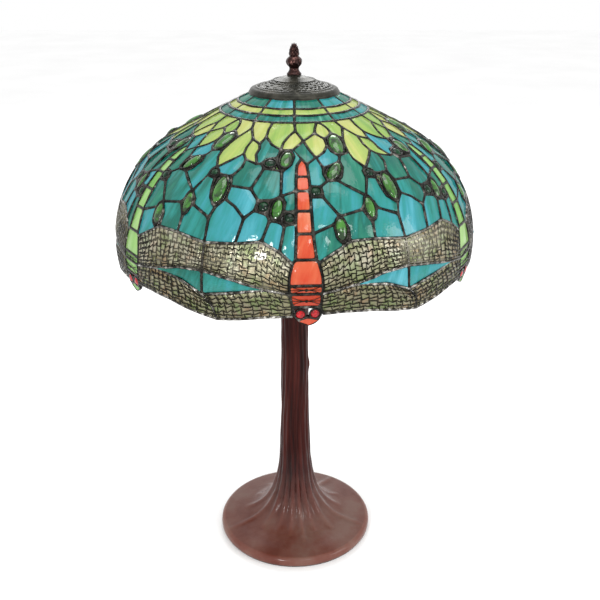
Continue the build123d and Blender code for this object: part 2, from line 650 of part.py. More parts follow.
# ---- writing the pieces ---------------------------------------------------------------------
def save(name, shape):
    solids = shape if isinstance(shape, list) else list(shape.solids())
    solids = [s.solid() for s in solids]
    body = solids[0] if len(solids) == 1 else Compound(children=solids)
    body.label = name
    export_step(body, f"parts/{name}.step")
    print(f"{name}: {len(solids)} solids, {sum(s.volume for s in solids) / 1000:.1f} cm3")


def main():
    os.makedirs("parts", exist_ok=True)
    for builder in (foot_casting, trunk_casting, felt_pad, ballast_weight, base_washer, base_nut,
                    stem_pipe, cord_grommet, trunk_collar, collar_nut, cluster_body, riser_rod,
                    riser_sleeve, shade_spider, crown_ring, vent_cap, cap_washer, finial):
        save(builder.__name__, builder())
    for builder in (socket_nipple, lampholder_cup, lampholder_sleeve, contact_block, bulb_cap, bulb_glass):
        for side, word in ((-1, "left"), (1, "right")):
            save(f"{builder.__name__}_{word}", builder(side))

    for kind in panes:
        if kind != "dragonfly_glass":
            save(kind, around(glass_panes(kind)))
    dragonfly = glass_panes("dragonfly_glass")
    save("dragonfly_glass_orange", around(dragonfly, first=0, every=2))
    save("dragonfly_glass_green", around(dragonfly, first=1, every=2))
    wings = pane_outlines("wing_glass_upper") + pane_outlines("wing_glass_lower")
    legs = pane_outlines("dragonfly_glass")[leg_panes]
    save("wing_filigree", around(filigree(wings)))
    save("leg_filigree", around(filigree(legs)))
    save("large_oval_jewels", around([jewel(*j) for j in large_oval_jewels]))
    save("small_oval_jewels", around([jewel(*j) for j in small_oval_jewels]))
    save("round_jewels", around([jewel(a, d, r, r) for a, d, r in round_jewels]))
    save("eye_jewels", around([jewel(a, d, r, r) for a, d, r in eye_jewels]))
    save("lead_cames", around(lead_sector()))


main()
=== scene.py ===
import math
import random
from functools import partial

import bpy
from mathutils import Matrix, Vector, noise


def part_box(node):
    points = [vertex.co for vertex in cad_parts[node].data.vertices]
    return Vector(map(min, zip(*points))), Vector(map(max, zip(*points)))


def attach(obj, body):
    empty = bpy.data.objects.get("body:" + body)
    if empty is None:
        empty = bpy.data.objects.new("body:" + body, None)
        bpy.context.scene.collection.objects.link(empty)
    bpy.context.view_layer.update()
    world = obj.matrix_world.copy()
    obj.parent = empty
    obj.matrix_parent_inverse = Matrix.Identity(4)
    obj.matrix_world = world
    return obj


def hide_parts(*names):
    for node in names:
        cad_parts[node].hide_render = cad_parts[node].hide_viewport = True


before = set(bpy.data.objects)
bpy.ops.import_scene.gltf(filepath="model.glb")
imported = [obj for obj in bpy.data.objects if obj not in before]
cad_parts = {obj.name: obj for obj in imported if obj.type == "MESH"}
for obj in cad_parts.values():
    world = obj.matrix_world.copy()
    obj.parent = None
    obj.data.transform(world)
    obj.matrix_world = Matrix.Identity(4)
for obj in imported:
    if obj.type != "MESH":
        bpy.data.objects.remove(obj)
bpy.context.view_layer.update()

mm = 0.001
print("frame loaded:", len(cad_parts), "nodes")


# small helpers

def linearColour(hexCode):
    # sRGB hex to the linear colour that a shader wants
    parts = [int(hexCode[i:i + 2], 16) / 255 for i in (1, 3, 5)]
    return [c / 12.92 if c <= 0.04045 else ((c + 0.055) / 1.055) ** 2.4 for c in parts] + [1.0]


def objectMode():
    if bpy.context.mode != "OBJECT":
        bpy.ops.object.mode_set(mode="OBJECT")


def selectOnly(piece):
    objectMode()
    bpy.ops.object.select_all(action="DESELECT")
    piece.hide_set(False)
    piece.select_set(True)
    bpy.context.view_layer.objects.active = piece


def editAll(piece):
    # edit mode with everything selected
    selectOnly(piece)
    bpy.ops.object.mode_set(mode="EDIT")
    bpy.ops.mesh.select_mode(type="FACE")
    bpy.ops.mesh.select_all(action="SELECT")


def meshPiece(name, points, edges, faces):
    mesh = bpy.data.meshes.new(name)
    mesh.from_pydata([tuple(p) for p in points], edges, faces)
    piece = bpy.data.objects.new(name, mesh)
    bpy.context.scene.collection.objects.link(piece)
    return piece


def finishWith(piece, kind, **settings):
    # add a modifier and apply it
    selectOnly(piece)
    modifier = piece.modifiers.new(kind.lower(), kind)
    for key, value in settings.items():
        setattr(modifier, key, value)
    bpy.ops.object.modifier_apply(modifier=modifier.name)


def smoothBy(piece, degrees):
    selectOnly(piece)
    bpy.ops.object.shade_smooth_by_angle(angle=math.radians(degrees))


def joinPieces(pieces, name):
    objectMode()
    bpy.ops.object.select_all(action="DESELECT")
    for piece in pieces:
        piece.select_set(True)
    bpy.context.view_layer.objects.active = pieces[0]
    if len(pieces) > 1:
        bpy.ops.object.join()
    pieces[0].name = name
    return pieces[0]


def dressPiece(piece, material, body, slotName, *nodes):
    # its one material, the body it moves with, a slot name that is not used, and the CAD solids it stands for
    piece.data.materials.clear()
    piece.data.materials.append(material)
    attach(piece, body)
    if nodes:
        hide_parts(*nodes)


def copyPiece(piece, matrix):
    twin = piece.copy()
    twin.data = piece.data.copy()
    twin.data.transform(matrix)
    bpy.context.scene.collection.objects.link(twin)
    return twin


def aroundAxis(piece, count, name):
    # copies turned about the lamp's axis, joined into one piece
    turns = [Matrix.Rotation(2 * math.pi * i / count, 4, "Z") for i in range(1, count)]
    return joinPieces([piece] + [copyPiece(piece, turn) for turn in turns], name)


def turnedPiece(name, profile, steps):
    # one point extruded along a profile of (radius, height) in mm, then spun about the lamp's axis
    objectMode()
    bpy.ops.object.select_all(action="DESELECT")
    bpy.ops.mesh.primitive_plane_add(size=mm, location=(0, 0, 0))
    piece = bpy.context.object
    piece.name = name
    bpy.ops.object.mode_set(mode="EDIT")
    bpy.ops.mesh.select_mode(type="VERT")
    bpy.ops.mesh.select_all(action="SELECT")
    bpy.ops.mesh.merge(type="CENTER")
    bpy.ops.transform.translate(value=(profile[0][0] * mm, 0, profile[0][1] * mm))
    for (r, z), (nextR, nextZ) in zip(profile, profile[1:]):
        move = ((nextR - r) * mm, 0, (nextZ - z) * mm)
        bpy.ops.mesh.extrude_region_move(TRANSFORM_OT_translate={"value": move})
    bpy.ops.mesh.select_all(action="SELECT")
    bpy.ops.mesh.spin(steps=steps, angle=2 * math.pi, center=(0, 0, 0), axis=(0, 0, 1))
    bpy.ops.mesh.select_all(action="SELECT")
    bpy.ops.mesh.remove_doubles(threshold=0.02 * mm)
    bpy.ops.mesh.normals_make_consistent(inside=False)
    objectMode()
    return piece


def curveThrough(corners, steps):
    # a smooth run of points through (radius, height) corners
    run = []
    last = len(corners) - 1
    for i in range(last):
        before, a, b, after = (Vector(corners[max(0, min(last, j))]) for j in (i - 1, i, i + 1, i + 2))
        for k in range(steps):
            t = k / steps
            run.append(0.5 * (2 * a + (b - before) * t + (2 * before - 5 * a + 4 * b - after) * t ** 2
                              + (3 * a - before - 3 * b + after) * t ** 3))
    return [tuple(p) for p in run] + [tuple(corners[-1])]


def addNode(tree, kind, links=None, output=0, stops=None, **settings):
    # one node: its settings, then each input given as a value or as another node's output
    node = tree.nodes.new("ShaderNode" + kind)
    for key, value in settings.items():
        setattr(node, key, value)
    for key, value in (links or {}).items():
        if isinstance(value, bpy.types.NodeSocket):
            tree.links.new(value, node.inputs[key])
        else:
            node.inputs[key].default_value = value
    for number, (place, colour) in enumerate(stops or []):
        element = node.color_ramp.elements[number] if number < 2 else node.color_ramp.elements.new(place)
        element.position = place
        element.color = linearColour(colour)
    return node if output is None else node.outputs[output]


def newMaterial(name):
    material = bpy.data.materials.new(name)
    material.use_nodes = True
    material.node_tree.nodes.clear()
    add = partial(addNode, material.node_tree)
    return material, add, add("TexCoord", output="Object")


def perMetre(sizeMm):
    return 1000 / sizeMm   # a noise scale whose lumps are about that many mm across


# materials

def opalescentGlass(name, stops, through, rise=0.0):
    # rolled opalescent sheet: wisps of colour run down the shade, each pane from its own spot of the sheet
    material, add, place = newMaterial(name)
    pane = add("NewGeometry", output="Random Per Island")
    axes = add("SeparateXYZ", {"Vector": place}, None)
    azimuth = add("Math", {0: axes.outputs["X"], 1: axes.outputs["Y"]}, operation="ARCTAN2")
    leaning = add("Math", {0: axes.outputs["Z"], 1: 0.25}, operation="MULTIPLY")
    # metres round the shade
    across = add("Math", {0: azimuth, 1: 0.15, 2: leaning}, operation="MULTIPLY_ADD")
    along = add("Math", {0: axes.outputs["Z"], 1: 0.16}, operation="MULTIPLY")
    cutFrom = add("Math", {0: pane, 1: 0.9}, operation="MULTIPLY")
    sheet = add("CombineXYZ", {"X": across, "Y": along, "Z": cutFrom})
    broad = add("TexNoise", {"Vector": sheet, "Scale": perMetre(16), "Detail": 4.0, "Roughness": 0.55,
                             "Distortion": 0.7})
    fine = add("TexNoise", {"Vector": sheet, "Scale": perMetre(3.5), "Detail": 3.0, "Roughness": 0.6,
                            "Distortion": 0.4})
    wisps = add("Mix", {"Factor": 0.25, "A": broad, "B": fine}, data_type="FLOAT")
    varied = add("MapRange", {"Value": pane, "To Min": -0.17, "To Max": 0.17})
    height = add("MapRange", {"Value": axes.outputs["Z"], "From Min": 0.41, "From Max": 0.54, "To Min": -rise,
                              "To Max": rise})
    toned = add("Math", {0: wisps, 1: varied}, operation="ADD")
    toned = add("Math", {0: toned, 1: height}, operation="ADD")
    colour = add("ValToRGB", {"Fac": toned}, "Color", stops)
    swell = add("TexNoise", {"Vector": place, "Scale": perMetre(9), "Detail": 2.0})
    hammer = add("TexNoise", {"Vector": place, "Scale": perMetre(2.2), "Detail": 2.0})
    wave = add("Mix", {"Factor": 0.2, "A": swell, "B": hammer}, data_type="FLOAT")
    # slightly wavy rolled face
    normal = add("Bump", {"Height": wave, "Strength": 1.0, "Distance": 0.6 * mm})
    gloss = add("MapRange", {"Value": fine, "From Min": 0.3, "From Max": 0.7, "To Min": 0.06, "To Max": 0.16})
    face = add("BsdfPrincipled", {"Base Color": colour, "Roughness": gloss, "IOR": 1.52, "Normal": normal})
    behind = add("BsdfTranslucent", {"Color": colour})
    both = add("MixShader", {"Fac": through, 1: face, 2: behind})
    add("OutputMaterial", {"Surface": both}, None)
    return material


def iridisedGlass(name):
    # rippled sheet with a metallic skin: grey-amber with green and rose clouds and a wet, uneven, pearly face
    material, add, place = newMaterial(name)
    axes = add("SeparateXYZ", {"Vector": place}, None)
    clouds = add("TexNoise", {"Vector": place, "Scale": perMetre(20), "Detail": 4.0, "Distortion": 0.6})
    tinted = add("TexNoise", {"Vector": place, "Scale": perMetre(13), "Detail": 2.0, "Distortion": 0.3})
    # the upper wings are painted paler than the lower ones: a painted sheen from the light above
    light = add("MapRange", {"Value": axes.outputs["Z"], "From Min": 0.39, "From Max": 0.44, "To Min": -0.14,
                             "To Max": 0.12})
    toned = add("Math", {0: clouds, 1: light}, operation="ADD")
    body = add("ValToRGB", {"Fac": toned}, "Color",
               [(0.3, "#56522c"), (0.44, "#6e6a3e"), (0.6, "#a4a080"), (0.75, "#cac7b2")])
    tint = add("ValToRGB", {"Fac": tinted}, "Color",
               [(0.36, "#7d9a5a"), (0.46, "#9a9878"), (0.56, "#a8a088"), (0.66, "#b08a6a")])
    colour = add("Mix", {"Factor": 0.4, "A": body, "B": tint}, "Result", data_type="RGBA")
    swell = add("TexNoise", {"Vector": place, "Scale": perMetre(6), "Detail": 3.0})
    ripple = add("TexNoise", {"Vector": place, "Scale": perMetre(1.6), "Detail": 2.0})
    wave = add("Mix", {"Factor": 0.3, "A": swell, "B": ripple}, data_type="FLOAT")
    normal = add("Bump", {"Height": wave, "Strength": 1.0, "Distance": 1.6 * mm})
    gloss = add("MapRange", {"Value": clouds, "From Min": 0.3, "From Max": 0.7, "To Min": 0.1,
                             "To Max": 0.22})
    face = add("BsdfPrincipled", {"Base Color": colour, "Roughness": gloss, "IOR": 1.52, "Metallic": 0.35,
                                  "Coat Weight": 0.5, "Coat Roughness": 0.06, "Normal": normal})
    behind = add("BsdfTranslucent", {"Color": colour})
    both = add("MixShader", {"Fac": 0.2, 1: face, 2: behind})
    add("OutputMaterial", {"Surface": both}, None)
    return material


def pressedGlass(name, deep, edge, seedMm, clear, coat, level):
    # pressed clear glass: tinted in the mass, seeds and folds inside, fire-polished outside
    material, add, place = newMaterial(name)
    swirl = add("TexNoise", {"Vector": place, "Scale": perMetre(seedMm), "Detail": 3.0, "Roughness": 0.6,
                             "Distortion": 0.8})
    colour = add("ValToRGB", {"Fac": swirl}, "Color", [(0.4, deep), (0.62, edge)])
    folds = add("TexNoise", {"Vector": place, "Scale": perMetre(3.5), "Detail": 1.0})
    normal = add("Bump", {"Height": folds, "Strength": 1.0, "Distance": 0.25 * mm})
    face = add("BsdfPrincipled", {"Base Color": colour, "Roughness": 0.03, "IOR": 1.52,
                                  "Transmission Weight": clear, "Coat Weight": coat, "Coat Roughness": 0.02,
                                  "Specular IOR Level": level, "Normal": normal})
    add("OutputMaterial", {"Surface": face}, None)
    return material


def patinatedMetal(name, stops, metallic, rough, lumpMm, lumpDepth, patchMm=18.0, level=0.5):
    # metal under a chemical patina: mottled colour, rougher where the patina is thick, waxed on top
    material, add, place = newMaterial(name)
    patches = add("TexNoise", {"Vector": place, "Scale": perMetre(patchMm), "Detail": 5.0, "Roughness": 0.6,
                               "Distortion": 0.4})
    colour = add("ValToRGB", {"Fac": patches}, "Color", stops)
    lumps = add("TexNoise", {"Vector": place, "Scale": perMetre(lumpMm), "Detail": 3.0})
    grit = add("TexNoise", {"Vector": place, "Scale": perMetre(0.9), "Detail": 2.0})
    relief = add("Mix", {"Factor": 0.15, "A": lumps, "B": grit}, data_type="FLOAT")
    normal = add("Bump", {"Height": relief, "Strength": 1.0, "Distance": lumpDepth * mm})
    gloss = add("MapRange", {"Value": patches, "From Min": 0.3, "From Max": 0.7, "To Min": rough[0],
                             "To Max": rough[1]})
    face = add("BsdfPrincipled", {"Base Color": colour, "Metallic": metallic, "Roughness": gloss,
                                  "Specular IOR Level": level, "Normal": normal})
    add("OutputMaterial", {"Surface": face}, None)
    return material


def castingPatina(name):
    # cast zinc stained red-brown: matt dark bark with darker furrows, and a foot painted paler with painted
    # light, waxed to a gloss
    material, add, place = newMaterial(name)
    axes = add("SeparateXYZ", {"Vector": place}, None)
    # the colour runs from the pale foot up to the dark bark: painted light on the foot, and on the trunk
    # partly its own dark stain, partly painted shade under the shade
    onTrunk = add("MapRange", {"Value": axes.outputs["Z"], "From Min": 0.022, "From Max": 0.085})
    patches = add("TexNoise", {"Vector": place, "Scale": perMetre(45), "Detail": 4.0, "Roughness": 0.55})
    foot = add("ValToRGB", {"Fac": patches}, "Color",
               [(0.34, "#743c30"), (0.5, "#845246"), (0.66, "#8c665a")])
    drawn = add("Mapping", {"Vector": place, "Scale": (1, 1, 0.06)})
    streaks = add("TexNoise", {"Vector": drawn, "Scale": perMetre(9), "Detail": 3.0, "Roughness": 0.6})
    bark = add("ValToRGB", {"Fac": streaks}, "Color",
               [(0.34, "#260d0a"), (0.5, "#421510"), (0.66, "#56241e")])
    stainAndPaintedLight = add("Mix", {"Factor": onTrunk, "A": foot, "B": bark}, "Result", data_type="RGBA")
    bend = add("NewGeometry", output="Pointiness")   # crests rubbed lighter, hollows left dark
    wear = add("ValToRGB", {"Fac": bend}, "Color", [(0.47, "#484848"), (0.53, "#909090")])
    colour = add("Mix", {"Factor": 0.7, "A": stainAndPaintedLight, "B": wear}, "Result", data_type="RGBA",
                 blend_type="OVERLAY")
    lumps = add("TexNoise", {"Vector": place, "Scale": perMetre(6), "Detail": 3.0})
    grit = add("TexNoise", {"Vector": place, "Scale": perMetre(1.1), "Detail": 2.0})
    relief = add("Mix", {"Factor": 0.12, "A": lumps, "B": grit}, data_type="FLOAT")
    normal = add("Bump", {"Height": relief, "Strength": 1.0, "Distance": 0.35 * mm})
    gloss = add("MapRange", {"Value": patches, "From Min": 0.3, "From Max": 0.7, "To Min": 0.3,
                             "To Max": 0.42})
    waxed = add("MapRange", {"Value": axes.outputs["Z"], "From Min": 0.05, "From Max": 0.12, "To Min": 0.4,
                             "To Max": 0.0})
    face = add("BsdfPrincipled", {"Base Color": colour, "Roughness": gloss, "Specular IOR Level": 0.08,
                                  "Coat Weight": waxed, "Coat Roughness": 0.16, "Normal": normal})
    add("OutputMaterial", {"Surface": face}, None)
    return material


def workedSurface(name, stops, metallic, rough, grainMm, depth, stretch=(1, 1, 1), sheen=0.0):
    # moulded, turned or pressed small parts: grain stretched along the way the surface was worked
    material, add, place = newMaterial(name)
    worked = add("Mapping", {"Vector": place, "Scale": stretch})
    grain = add("TexNoise", {"Vector": worked, "Scale": perMetre(grainMm), "Detail": 3.0, "Roughness": 0.6})
    colour = add("ValToRGB", {"Fac": grain}, "Color", stops)
    gloss = add("MapRange", {"Value": grain, "From Min": 0.3, "From Max": 0.7, "To Min": rough[0],
                             "To Max": rough[1]})
    normal = add("Bump", {"Height": grain, "Strength": 1.0, "Distance": depth * mm})
    face = add("BsdfPrincipled", {"Base Color": colour, "Metallic": metallic, "Roughness": gloss,
                                  "Sheen Weight": sheen, "Normal": normal})
    add("OutputMaterial", {"Surface": face}, None)
    return material


def etchedGlass(name):
    # lamp glass etched inside: white haze that glows through, smooth outside
    material, add, place = newMaterial(name)
    haze = add("TexNoise", {"Vector": place, "Scale": perMetre(20), "Detail": 2.0})
    colour = add("ValToRGB", {"Fac": haze}, "Color", [(0.3, "#efece4"), (0.7, "#fbf9f4")])
    gloss = add("MapRange", {"Value": haze, "From Min": 0.3, "From Max": 0.7, "To Min": 0.12, "To Max": 0.2})
    face = add("BsdfPrincipled", {"Base Color": colour, "Roughness": gloss, "IOR": 1.5})
    behind = add("BsdfTranslucent", {"Color": colour})
    both = add("MixShader", {"Fac": 0.45, 1: face, 2: behind})
    add("OutputMaterial", {"Surface": both}, None)
    return material


# sheet glass: the stops run from the paler, bluer part of the sheet to the greener part
tealGlass = opalescentGlass("rolledTealOpalescentGlass", [
    (0.2, "#64bfce"), (0.36, "#40a4ae"), (0.48, "#2e9890"), (0.6, "#1a7264"), (0.72, "#2d8c74"),
    (0.85, "#6cbca2")],
    0.38, 0.05)
leafGlass = opalescentGlass("rolledLeafOpalescentGlass", [
    (0.2, "#76a652"), (0.38, "#9cbe60"), (0.52, "#b6c86e"), (0.64, "#c8cc7a"), (0.8, "#ccd894")], 0.36)
orangeGlass = opalescentGlass("rolledCoralOpalescentGlass", [
    (0.2, "#b83418"), (0.42, "#d04a28"), (0.58, "#d8643e"), (0.8, "#e49674")], 0.3, 0.14)
paleGreenGlass = opalescentGlass("rolledPaleGreenOpalescentGlass", [
    (0.25, "#74b452"), (0.5, "#92c86a"), (0.75, "#b6d890")], 0.36)
wingGlass = iridisedGlass("iridisedRippledGlass")
greenJewel = pressedGlass("pressedGreenGlass", "#0c3406", "#3c8420", 9, 0.3, 0.3, 0.5)
darkJewel = pressedGlass("pressedDeepGreenGlass", "#02140a", "#083a1e", 6, 0.1, 0.15, 0.15)
redJewel = pressedGlass("pressedRedGlass", "#7c000a", "#c40612", 4, 0.1, 0.1, 0.35)
# solder stays dark in the hollows and shows tin-bright flecks where it was wiped
solder = patinatedMetal("blackPatinaSolder", [
    (0.3, "#0c0d0b"), (0.48, "#1f1e1b"), (0.62, "#3c3a35"), (0.78, "#a5a29b")], 0.85, (0.2, 0.34), 2.6, 0.9,
    7)
wornSolder = patinatedMetal("wornPatinaSolder", [
    (0.3, "#141412"), (0.44, "#34322e"), (0.56, "#86837c"), (0.7, "#d0cec8")], 0.9, (0.16, 0.28), 2.2, 0.9, 5)
etchedBrass = patinatedMetal("etchedBrassBlackPatina", [
    (0.3, "#11110d"), (0.55, "#24221a"), (0.75, "#575144")], 0.85, (0.24, 0.42), 2.0, 0.15, 10)
# the upper wings' brass is painted silvery in big patches: a painted reflection of the lights, which the
# lower wings' darker brass lacks
sheenPaintedBrass = patinatedMetal("etchedBrassPaintedSheen", [
    (0.4, "#12110d"), (0.5, "#26241c"), (0.58, "#6c695c"), (0.7, "#98958a")], 0.85, (0.2, 0.36), 2.0, 0.2, 85)
darkBronze = patinatedMetal("darkBronzePatina", [
    (0.3, "#1e1e1a"), (0.5, "#32322c"), (0.7, "#48463f")], 0.5, (0.28, 0.4), 3.0, 0.15, 14, level=0.15)
redBronze = patinatedMetal("redBronzePatina", [
    (0.3, "#150f0e"), (0.5, "#35211f"), (0.7, "#6a4a44")], 0.85, (0.14, 0.24), 2.5, 0.15, 5)
castPatina = castingPatina("patinatedZincCasting")
platedSteel = workedSurface("zincPlatedSteel", [(0.3, "#a8a69c"), (0.7, "#c8c6be")], 1.0, (0.22, 0.4), 3,
                            0.02, (4, 4, 0.6))
blackThermoset = workedSurface("mouldedBlackThermoset", [(0.3, "#0e0d0d"), (0.7, "#1c1a19")], 0.0,
                               (0.3, 0.42), 2, 0.03)
glazedCeramic = workedSurface("glazedCeramic", [(0.3, "#e4dfd2"), (0.7, "#f2eee4")], 0.0, (0.08, 0.16), 6,
                              0.05)
drawnAluminium = workedSurface("drawnAluminium", [(0.3, "#c4c4c2"), (0.7, "#dededc")], 1.0, (0.18, 0.3), 1.5,
                               0.03)
castIron = workedSurface("sandCastIron", [(0.3, "#26262a"), (0.7, "#3c3a3a")], 0.6, (0.6, 0.8), 1.6, 0.3)
woolFelt = workedSurface("pressedWoolFelt", [(0.3, "#1c241c"), (0.7, "#2e3a2e")], 0.0, (0.85, 0.98), 0.8, 0.2,
                         sheen=0.4)
blackRubber = workedSurface("mouldedRubber", [(0.3, "#121212"), (0.7, "#1e1e1e")], 0.0, (0.55, 0.7), 1.2,
                            0.05)
lampGlass = etchedGlass("etchedLampGlass")
print("materials made")


# the shade's form and its cartoon, in degrees round the lamp and mm down from the crown

shade = {"bend": 128.0, "slope": 27.3, "crownRadius": 45.0, "leadOver": 1.0, "tipOverWidest": 207.72,
         "glass": 3.0, "repeats": 6}
shade["widestHeight"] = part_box("finial")[1].z / mm - shade["tipOverWidest"]
shade["widest"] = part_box("lead_cames")[1].x / mm - shade["leadOver"]
slope = math.radians(shade["slope"])
bendCentre = shade["widest"] - shade["bend"]
coneFoot = bendCentre + shade["bend"] * math.sin(slope)
coneLength = (coneFoot - shade["crownRadius"]) / math.cos(slope)
crownHeight = (shade["widestHeight"] + shade["bend"] * math.cos(slope)
               + (coneFoot - shade["crownRadius"]) * math.tan(slope))
step = 360 / shade["repeats"]


def leanAt(down):
    return slope if down < coneLength else slope + (down - coneLength) / shade["bend"]


def onShade(azimuth, down, out=0.0):
    # a point on the glass's outer face, or that many mm outside it, in metres
    lean = leanAt(down)
    if down < coneLength:
        r = shade["crownRadius"] + down * math.cos(slope)
        z = crownHeight - down * math.sin(slope)
    else:
        r = bendCentre + shade["bend"] * math.sin(lean)
        z = shade["widestHeight"] + shade["bend"] * math.cos(lean)
    r, z = r + out * math.sin(lean), z + out * math.cos(lean)
    a = math.radians(azimuth)
    return Vector((r * math.sin(a), -r * math.cos(a), z)) * mm


def shadeFrame(azimuth, down, out=0.0, turn=0.0):
    # a matrix on the shade: z outwards, y up the meridian, turned by some degrees
    a, lean = math.radians(azimuth), leanAt(down)
    z = Vector((math.sin(lean) * math.sin(a), -math.sin(lean) * math.cos(a), math.cos(lean)))
    x = Vector((math.cos(a), math.sin(a), 0))
    base = Matrix((x, z.cross(x), z)).transposed().to_4x4()
    return Matrix.Translation(onShade(azimuth, down, out)) @ base @ Matrix.Rotation(math.radians(turn), 4,
                                                                                    "Z")


cartoon = {
    # ring of blocks under the crown
    "c10": (-29.5, 2), "c11": (-14.5, 2), "c12": (0.5, 2), "c13": (15.5, 2),
    "c20": (-29.5, 17.5), "c21": (-14.5, 17.5), "c22": (0.5, 17.5), "c23": (15.5, 17.5),
    "c30": (-29.5, 28), "c31": (-14.5, 28), "c32": (0.5, 28), "c33": (15.5, 28),
    "r1": (-29.5, 39), "r2": (-15, 39), "r3": (0.5, 39), "r4": (16.5, 39),
    # leaves
    "e1": (-27.5, 50), "a1": (-16, 50), "a2": (-15.5, 61), "a3": (-17.5, 72.5), "a4": (-22.5, 66),
    "b1": (1, 51), "b2": (-3, 60), "b3": (-5.3, 69), "b4": (-6, 79.5), "b5": (-11, 72.5),
    "n1": (5.2, 66.5), "v1": (-0.5, 80), "p1": (13.8, 48), "p2": (12.5, 55.5), "p3": (17, 65),
    "p4": (22.5, 57.5), "p5": (22, 50), "p6": (20, 43), "q1": (25.3, 61.5), "f1": (-32.5, 67),
    "h1": (-23.4, 79), "i1": (-22.8, 88.5), "l1": (-20.5, 96), "k1": (-15, 101), "k2": (-17, 88),
    "k3": (-16.5, 79), "u1": (-26.7, 98.5), "t1": (-31, 110), "t2": (-34, 97), "t3": (-34.5, 88),
    "t4": (-33.8, 76), "o1": (9.8, 91.5), "o2": (7.5, 80), "o3": (16.8, 75), "o4": (14, 84),
    # background above the wings
    "g1": (20.5, 91), "g2": (17.8, 84), "g3": (19.2, 98.5), "g4": (19.7, 106), "g6": (17.8, 117.5),
    "x1": (-7, 91), "x4": (-6.3, 101), "y1": (0.3, 90), "y2": (-1, 100), "y4": (-4.5, 108.5),
    "z1": (-11.5, 106.5), "z2": (-13, 100), "z3": (-11.5, 93), "l2": (-20.5, 106), "m1": (-23, 118.5),
    "m2": (-26, 118.5), "s1": (-14.5, 130.5), "s2": (-21.9, 129.5), "s3": (-22.3, 144),
    "s4": (-18.5, 150), "j1": (-6.8, 141.5), "d1": (-11.3, 142.5), "d2": (-12, 152.5),
    "d3": (-15, 160.5), "d5": (-8, 156), "j52": (-2.5, 143), "j53": (-3, 153), "j54": (-4.5, 162.5),
    "j55": (-7.6, 150), "j56": (-7, 161.5), "c1": (-4, 137), "bb1": (-32.7, 113), "bb2": (-32.7, 121.5),
    "bb3": (-29.3, 123.5), "bb4": (-28.5, 117.5), "j42": (-28.9, 133), "j43": (-28, 144),
    "j44": (-25, 153), "qa": (-26.3, 163.5), "k5": (11.8, 105.5), "k6": (11.3, 113), "k7": (12.2, 121.5),
    "k8": (9.3, 127.5), "k9": (9.8, 133), "q91": (15.8, 121.5), "b21": (5.7, 126.5), "b22": (9.6, 138.5),
    "b23": (5.6, 138.5), "j61": (14.2, 158.5), "j62": (16.3, 170), "j64": (12.6, 178), "j65": (11.9, 166),
    "j71": (24.3, 140.5), "j72": (26.6, 148), "j75": (26.8, 154), "j73": (24.2, 167), "j74": (21.8, 154),
    "b51": (-2.5, 165.5), "b54": (0.8, 164),
    # dragonfly: tail, body and head
    "t0": (3.4, 92.5), "tl1": (1.4, 101), "tl2": (1, 115.5), "tl3": (0.9, 131.5), "tl4": (0.9, 152),
    "tl5": (0.9, 173.5), "tl6": (0.6, 197.5), "tr1": (5.4, 100), "tr2": (5.7, 115.5), "tr3": (5.6, 131.5),
    "tr4": (5.6, 152), "tr5": (5.7, 173.5), "tr6": (6.4, 197.5), "bl1": (-1, 212), "bl2": (-1.2, 222),
    "bl3": (-1, 230), "bl4": (-0.3, 243), "bl5": (-0.2, 252.5), "br1": (7.9, 212), "br2": (8.1, 222),
    "br3": (7.9, 230), "br4": (7.4, 243), "br5": (8, 250.5), "hb1": (7, 259), "hb2": (4.3, 264.5),
    "hb3": (1.5, 260), "nl": (1, 257.5), "nt": (3.9, 253.5), "nr": (7.2, 256.5),
    # wings
    "w1": (-26, 187.5), "w2": (-16.5, 185), "w3": (-9, 181.5), "w4": (14.7, 186), "w5": (7, 200.5),
    "w6": (16.2, 182.5), "w7": (24, 183), "w8": (-3.8, 190.5), "w9": (-0.2, 201), "v0": (-26, 214),
    "v2": (-26, 238), "v4": (-23, 247), "v6": (-22, 262.5), "g8": (-8, 226), "g9": (-16, 219.5),
    "g7": (-15, 231), "h8": (17.5, 223.5), "h9": (26, 215.5), "h6": (27, 228), "m4": (-15, 259),
    "m5": (-8, 254.5), "m6": (14, 250), "m7": (22, 252), "m8": (31, 258.5),
}
